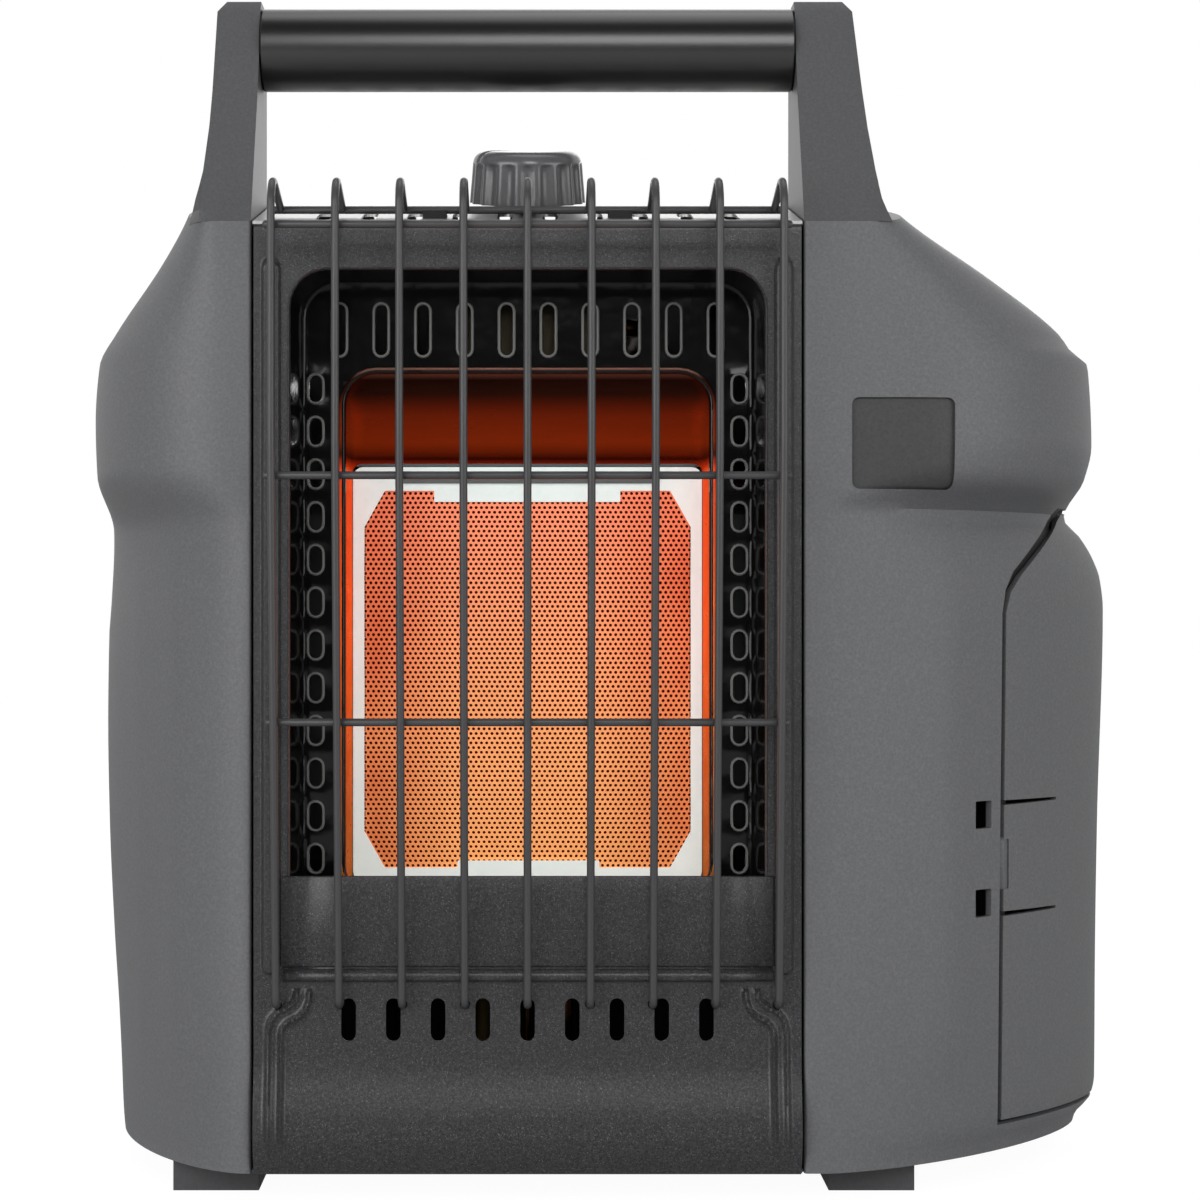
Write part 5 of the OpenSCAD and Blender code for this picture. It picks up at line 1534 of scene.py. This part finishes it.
def cross_wire(bm, y, z, reach, radius):
    """A straight cross wire with rounded ends."""
    profile = ((-reach - 0.9, 0.35), (-reach - 0.6, 0.75), (-reach, 1.0), (reach, 1.0),
               (reach + 0.6, 0.75), (reach + 0.9, 0.35))
    turns = [2 * math.pi * i / WIRE_SIDES for i in range(WIRE_SIDES)]
    loft(bm, [[(x, y + radius * k * math.cos(a), z + radius * k * math.sin(a)) for a in turns]
              for x, k in profile], closed=True)
    bmesh.ops.holes_fill(bm, edges=[e for e in bm.edges if e.is_boundary], sides=0)


class HEATER_OT_guard(bpy.types.Operator):
    """Bends the guard's nine upright wires and lays the cross wires behind them"""
    bl_idname = "heater.guard"
    bl_label = "Wire guard"

    def execute(self, context):
        radius = context.scene.heater_sizes.wire / MM / 2
        steel = moulded("guard_wire_coat", tinted(slot_colour("guard_wire"), 0.5), 0.38, 3000.0,
                        0.00002, 0.6)
        bm = bmesh.new()
        for i in range(-4, 5):
            bent_wire(bm, (i * WIRE_PITCH, 4.0, WIRE_HOLE_Z), (0, -1, 0), WIRE_RUNS, radius)
        bmesh.ops.recalc_face_normals(bm, faces=bm.faces)
        piece(bm, "guard_upright_wires", steel, ("guard_wires",), sharp=50)
        bm = bmesh.new()
        reach = 4 * WIRE_PITCH + radius * 1.6
        for y, z in CROSS_WIRES:
            cross = bmesh.new()
            cross_wire(cross, y, z, reach, radius)
            add_mesh(bm, cross)
        bmesh.ops.recalc_face_normals(bm, faces=bm.faces)
        piece(bm, "guard_cross_wires_laid", steel, ("guard_cross_wires",),
              sharp=50)
        return {"FINISHED"}


# ---------- knob, top, feet and rear ----------

KNOB_Y = 36.0
KNOB_TOP = 17.9
KNOB_LIFT = 3.1
FLUTES = 18
POINTER = math.radians(205)
# The knob's section: height, radius and how deep the flutes are there
KNOB_PROFILE = (
    (0.0, 19.72, 1.0), (0.2, 19.72, 1.0), (4.0, 19.4, 1.0), (8.0, 19.0, 1.0), (11.2, 18.75, 1.0),
    (12.4, 18.65, 0.85), (13.1, 18.6, 0.55), (13.6, 18.55, 0.2), (13.9, 18.5, 0.0),
    (14.4, 18.4, 0.0), (15.2, 18.1, 0.0), (16.1, 17.5, 0.0), (16.9, 16.6, 0.0), (17.5, 15.4, 0.0),
    (17.8, 14.0, 0.0), (KNOB_TOP, 12.4, 0.0), (KNOB_TOP, 10.0, 0.0), (KNOB_TOP - 0.05, 8.0, 0.0),
    (KNOB_TOP - 0.1, 4.0, 0.0), (KNOB_TOP - 0.1, 1.2, 0.0))
# Height above which the guard's clips are pressed lower
CLIP_FOOT_Z = 328.4


class HEATER_OT_knob(bpy.types.Operator):
    """Builds the fluted control knob with its pointer notch"""
    bl_idname = "heater.knob"
    bl_label = "Control knob"

    def execute(self, context):
        count = FLUTES * 10
        rings = []
        for height, radius, cut in KNOB_PROFILE:
            ring = []
            for i in range(count):
                a = 2 * math.pi * i / count
                across = (FLUTES * a / (2 * math.pi)) % 1.0 - 0.5
                groove = max(0.0, 1 - (across / 0.37) ** 2)
                r = radius - 1.15 * cut * groove
                ahead = math.cos(a - POINTER) > 0 and abs(r * math.sin(a - POINTER)) < 0.9
                notch = 0.9 if ahead and height > 14 and r > 7 else 0.0
                ring.append((r * math.cos(a), r * math.sin(a), KNOB_LIFT + height - notch))
            rings.append(ring)
        bm = bmesh.new()
        edges = loft(bm, rings, closed=True)[1]
        bmesh.ops.contextual_create(bm, geom=edges)
        face_out(bm, Vector((0, 0, KNOB_LIFT)))
        seat = Matrix.Translation((0, KNOB_Y, ROOF_FRONT_Z + KNOB_Y * math.tan(ROOF_TILT)))
        bmesh.ops.transform(bm, matrix=seat @ Matrix.Rotation(ROOF_TILT, 4, "X"), verts=bm.verts)
        plastic = moulded("knob_plastic", slot_colour("knob_plastic"), 0.24, 1600.0, 0.000012,
                          0.3, 0.7)
        piece(bm, "control_knob_fluted", plastic, ("control_knob",), "control_knob",
              0.0016, sharp=42)
        return {"FINISHED"}


class HEATER_OT_outer_parts(bpy.types.Operator):
    """Dresses the top plate, guard clips, feet, rear cover and outside screws"""
    bl_idname = "heater.outer_parts"
    bl_label = "Top, feet and rear"

    def execute(self, context):
        top = metal("top_steel", tinted(slot_colour("top_steel"), 0.8), 0.42, 0.00003, 320.0,
                    stretch=ACROSS)
        dressed("top_plate", top, bevel=0.25)
        clips = moulded("clip_coat", tinted(slot_colour("guard_wire"), 0.12), 0.45, 3000.0,
                        0.00002, 0.4)
        dressed("guard_clips", clips, bevel=0.2,
                shift=lambda p: Vector((0, 0, -0.75 * max(0.0, p.z - CLIP_FOOT_Z))))
        rubber = moulded("foot_rubber", tinted(slot_colour("soft"), 2.1), 0.6, 1200.0, 0.00005, 0.6)
        dressed("feet", rubber, bevel=0.9, segments=3)
        rear = moulded("rear_plastic", slot_colour("rear_plastic"), 0.5, 1300.0, 0.00004, 0.5)
        dressed("rear_cover", rear, bevel=0.4)
        for node in ("rear_screws", "guard_screws"):
            dressed(node, hardware_finish(), bevel=0.2)
        return {"FINISHED"}


class HEATER_OT_inner_parts(bpy.types.Operator):
    """Gives the pieces inside the case their finishes"""
    bl_idname = "heater.inner_parts"
    bl_label = "Inner parts"

    def execute(self, context):
        finishes = {
            "galvanised": galvanised_finish(),
            "hardware": hardware_finish(),
            # Brass and copper inside the case are darkened as painted shade where they show through
            # the slots.
            "brass": metal("dull_brass", (0.13, 0.09, 0.04), 0.4, 0.00001, 500.0),
            "pipe": metal("dull_copper", (0.12, 0.055, 0.03), 0.4),
            "regulator_metal": metal("die_cast", slot_colour("regulator_metal"), 0.45, 0.00004,
                                     900.0, stretch=EVEN),
            "black_plastic": moulded("black_plastic", slot_colour("black_plastic"), 0.3, 1800.0,
                                     0.00002, 0.4),
            "insulator": moulded("glazed_insulator", (0.8, 0.77, 0.7), 0.2, 900.0, 0.00001, 0.2),
            "soft": earlier("foot_rubber"),
            "powder_coat": powder_finish(),
            "reflector_steel": metal("clip_steel", (0.17, 0.17, 0.165), 0.4, 0.00002),
            "shell_plastic": shells_finish(),
            "door_plastic": earlier("door_plastic"),
            "rear_plastic": earlier("rear_plastic"),
        }
        slots = {row["node"]: row["material_slot"] for row in frame["record"]["subparts"]}
        for name, obj in frame["nodes"].items():
            finish = finishes.get(slots[name])
            if finish is None:
                continue
            # The valve shows through the top slots; its near-black colour is painted shade.
            if name == "gas_valve":
                finish = metal("cast_valve_body", (0.05, 0.042, 0.03), 0.5, 0.00003, 800.0)
            obj.data.materials.clear()
            obj.data.materials.append(finish)
        return {"FINISHED"}


# ---------- stage ----------

# Each lamp: name, place and size in metres, power in watts
LIGHTS = (
    ("key", (-1.35, -1.5, 0.5), 1.4, 23), ("fill", (1.55, -1.2, 0.3), 1.4, 15),
    ("front", (0.15, -1.8, 1.0), 0.7, 8), ("top", (0.1, 0.1, 1.9), 1.0, 3.5),
    ("rear", (0.2, 1.9, 1.0), 1.4, 10))
CAMERA_AWAY = 850
CAMERA_HEIGHT = 199.3
LENS = 77.5
LENS_SHIFT = 0.0604


class HEATER_OT_stage(bpy.types.Operator):
    """Sets the pale floor, the soft lights and the camera"""
    bl_idname = "heater.stage"
    bl_label = "Stage"

    def execute(self, context):
        context.scene.view_settings.view_transform = "Standard"
        self.floor(context.scene)
        self.studio(context.scene)
        for name, place, size, power in LIGHTS:
            self.light(name, place, size, power)
        self.view(context.scene)
        return {"FINISHED"}

    def floor(self, scene):
        """A pale floor that looks evenly bright to the camera."""
        bm = bmesh.new()
        bmesh.ops.create_grid(bm, x_segments=2, y_segments=2, size=4.0)
        mesh = bpy.data.meshes.new("floor")
        bm.to_mesh(mesh)
        bm.free()
        floor = bpy.data.objects.new("floor", mesh)
        scene.collection.objects.link(floor)
        paint = bpy.data.materials.new("floor_paint")
        paint.use_nodes = True
        tree = paint.node_tree
        shader = tree.nodes["Principled BSDF"]
        shader.inputs["Base Color"].default_value = (0.5, 0.5, 0.5, 1)
        shader.inputs["Roughness"].default_value = 0.8
        shader.inputs["Specular IOR Level"].default_value = 0.1
        glow = tree.nodes.new("ShaderNodeEmission")
        path = tree.nodes.new("ShaderNodeLightPath")
        blend = tree.nodes.new("ShaderNodeMixShader")
        direct = math_node(tree, "MAXIMUM", path.outputs["Is Camera Ray"],
                           path.outputs["Is Transmission Ray"])
        tree.links.new(math_node(tree, "ADD", math_node(tree, "MULTIPLY", direct, 0.8), math_node(
            tree, "MULTIPLY", path.outputs["Is Glossy Ray"], 0.1)), blend.inputs["Fac"])
        glow.inputs["Strength"].default_value = 1.2
        tree.links.new(shader.outputs[0], blend.inputs[1])
        tree.links.new(glow.outputs[0], blend.inputs[2])
        tree.links.new(blend.outputs[0], tree.nodes["Material Output"].inputs["Surface"])
        mesh.materials.append(paint)

    def studio(self, scene):
        """A white world, darker in front of the heater where its glossy pieces mirror it."""
        world = bpy.data.worlds.new("studio")
        world.use_nodes = True
        scene.world = world
        tree = world.node_tree
        ground = tree.nodes["Background"]
        ground.inputs["Color"].default_value = (1, 1, 1, 1)
        path = tree.nodes.new("ShaderNodeLightPath")
        way = tree.nodes.new("ShaderNodeSeparateXYZ")
        tree.links.new(tree.nodes.new("ShaderNodeTexCoord").outputs["Generated"], way.inputs[0])
        behind = tree.nodes.new("ShaderNodeMapRange")
        behind.inputs["From Min"].default_value = -0.2
        behind.inputs["From Max"].default_value = 0.5
        behind.inputs["To Min"].default_value = 0.04
        behind.inputs["To Max"].default_value = 0.9
        tree.links.new(way.outputs["Y"], behind.inputs["Value"])
        seen = math_node(tree, "MAXIMUM", path.outputs["Is Camera Ray"],
                         path.outputs["Is Transmission Ray"])
        glossy = math_node(tree, "MULTIPLY", path.outputs["Is Glossy Ray"],
                           behind.outputs["Result"])
        plain = math_node(tree, "SUBTRACT", 1.0, math_node(tree, "MAXIMUM", seen,
                                                           path.outputs["Is Glossy Ray"]))
        soft = math_node(tree, "MULTIPLY", plain, 0.36)
        tree.links.new(math_node(tree, "ADD", math_node(tree, "ADD", seen, glossy), soft),
                       ground.inputs["Strength"])

    def view(self, scene):
        """The camera in front of the heater."""
        lens = bpy.data.cameras.new("camera")
        lens.lens = LENS
        lens.sensor_width = 36.0
        lens.shift_x = LENS_SHIFT
        camera = bpy.data.objects.new("camera", lens)
        camera.location = spot(0, -CAMERA_AWAY, CAMERA_HEIGHT)
        camera.rotation_euler = (math.pi / 2, 0, 0)
        scene.collection.objects.link(camera)
        bpy.context.scene.camera = camera

    def light(self, name, place, size, power):
        """A square area lamp that points at the heater's middle."""
        lamp = bpy.data.lights.new(name, "AREA")
        lamp.size = size
        lamp.energy = power
        obj = bpy.data.objects.new(name, lamp)
        obj.location = Vector(place)
        aim = Vector((0, 0, 0.2)) - obj.location
        obj.rotation_euler = aim.to_track_quat("-Z", "Y").to_euler()
        bpy.context.scene.collection.objects.link(obj)


OPERATORS = (HEATER_OT_stage, HEATER_OT_shells, HEATER_OT_door, HEATER_OT_handle,
             HEATER_OT_front_panel, HEATER_OT_enamel_pan, HEATER_OT_reflector,
             HEATER_OT_burner, HEATER_OT_guard, HEATER_OT_knob, HEATER_OT_outer_parts,
             HEATER_OT_inner_parts)


class HEATER_PT_pieces(bpy.types.Panel):
    """Lists the heater's sizes, colours and pieces"""
    bl_idname = "HEATER_PT_pieces"
    bl_label = "Portable heater"
    bl_space_type = "VIEW_3D"
    bl_region_type = "UI"
    bl_category = "Heater"

    def draw(self, context):
        layout = self.layout
        for settings in (context.scene.heater_sizes, context.scene.heater_colours):
            for key in settings.__annotations__:
                layout.prop(settings, key)
        for operator in OPERATORS:
            layout.operator(operator.bl_idname)


CLASSES = (HeaterSizes, HeaterColours, *OPERATORS, HEATER_PT_pieces)


def register():
    """Registers the settings, the operators and the panel."""
    for cls in CLASSES:
        bpy.utils.register_class(cls)
    bpy.types.Scene.heater_sizes = bpy.props.PointerProperty(type=HeaterSizes)
    bpy.types.Scene.heater_colours = bpy.props.PointerProperty(type=HeaterColours)


def unregister():
    """Takes them away again."""
    del bpy.types.Scene.heater_colours
    del bpy.types.Scene.heater_sizes
    for cls in reversed(CLASSES):
        bpy.utils.unregister_class(cls)


def main():
    """Builds everything in order."""
    register()
    for operator in OPERATORS:
        group, name = operator.bl_idname.split(".")
        getattr(getattr(bpy.ops, group), name)()


if __name__ == "__main__":
    main()
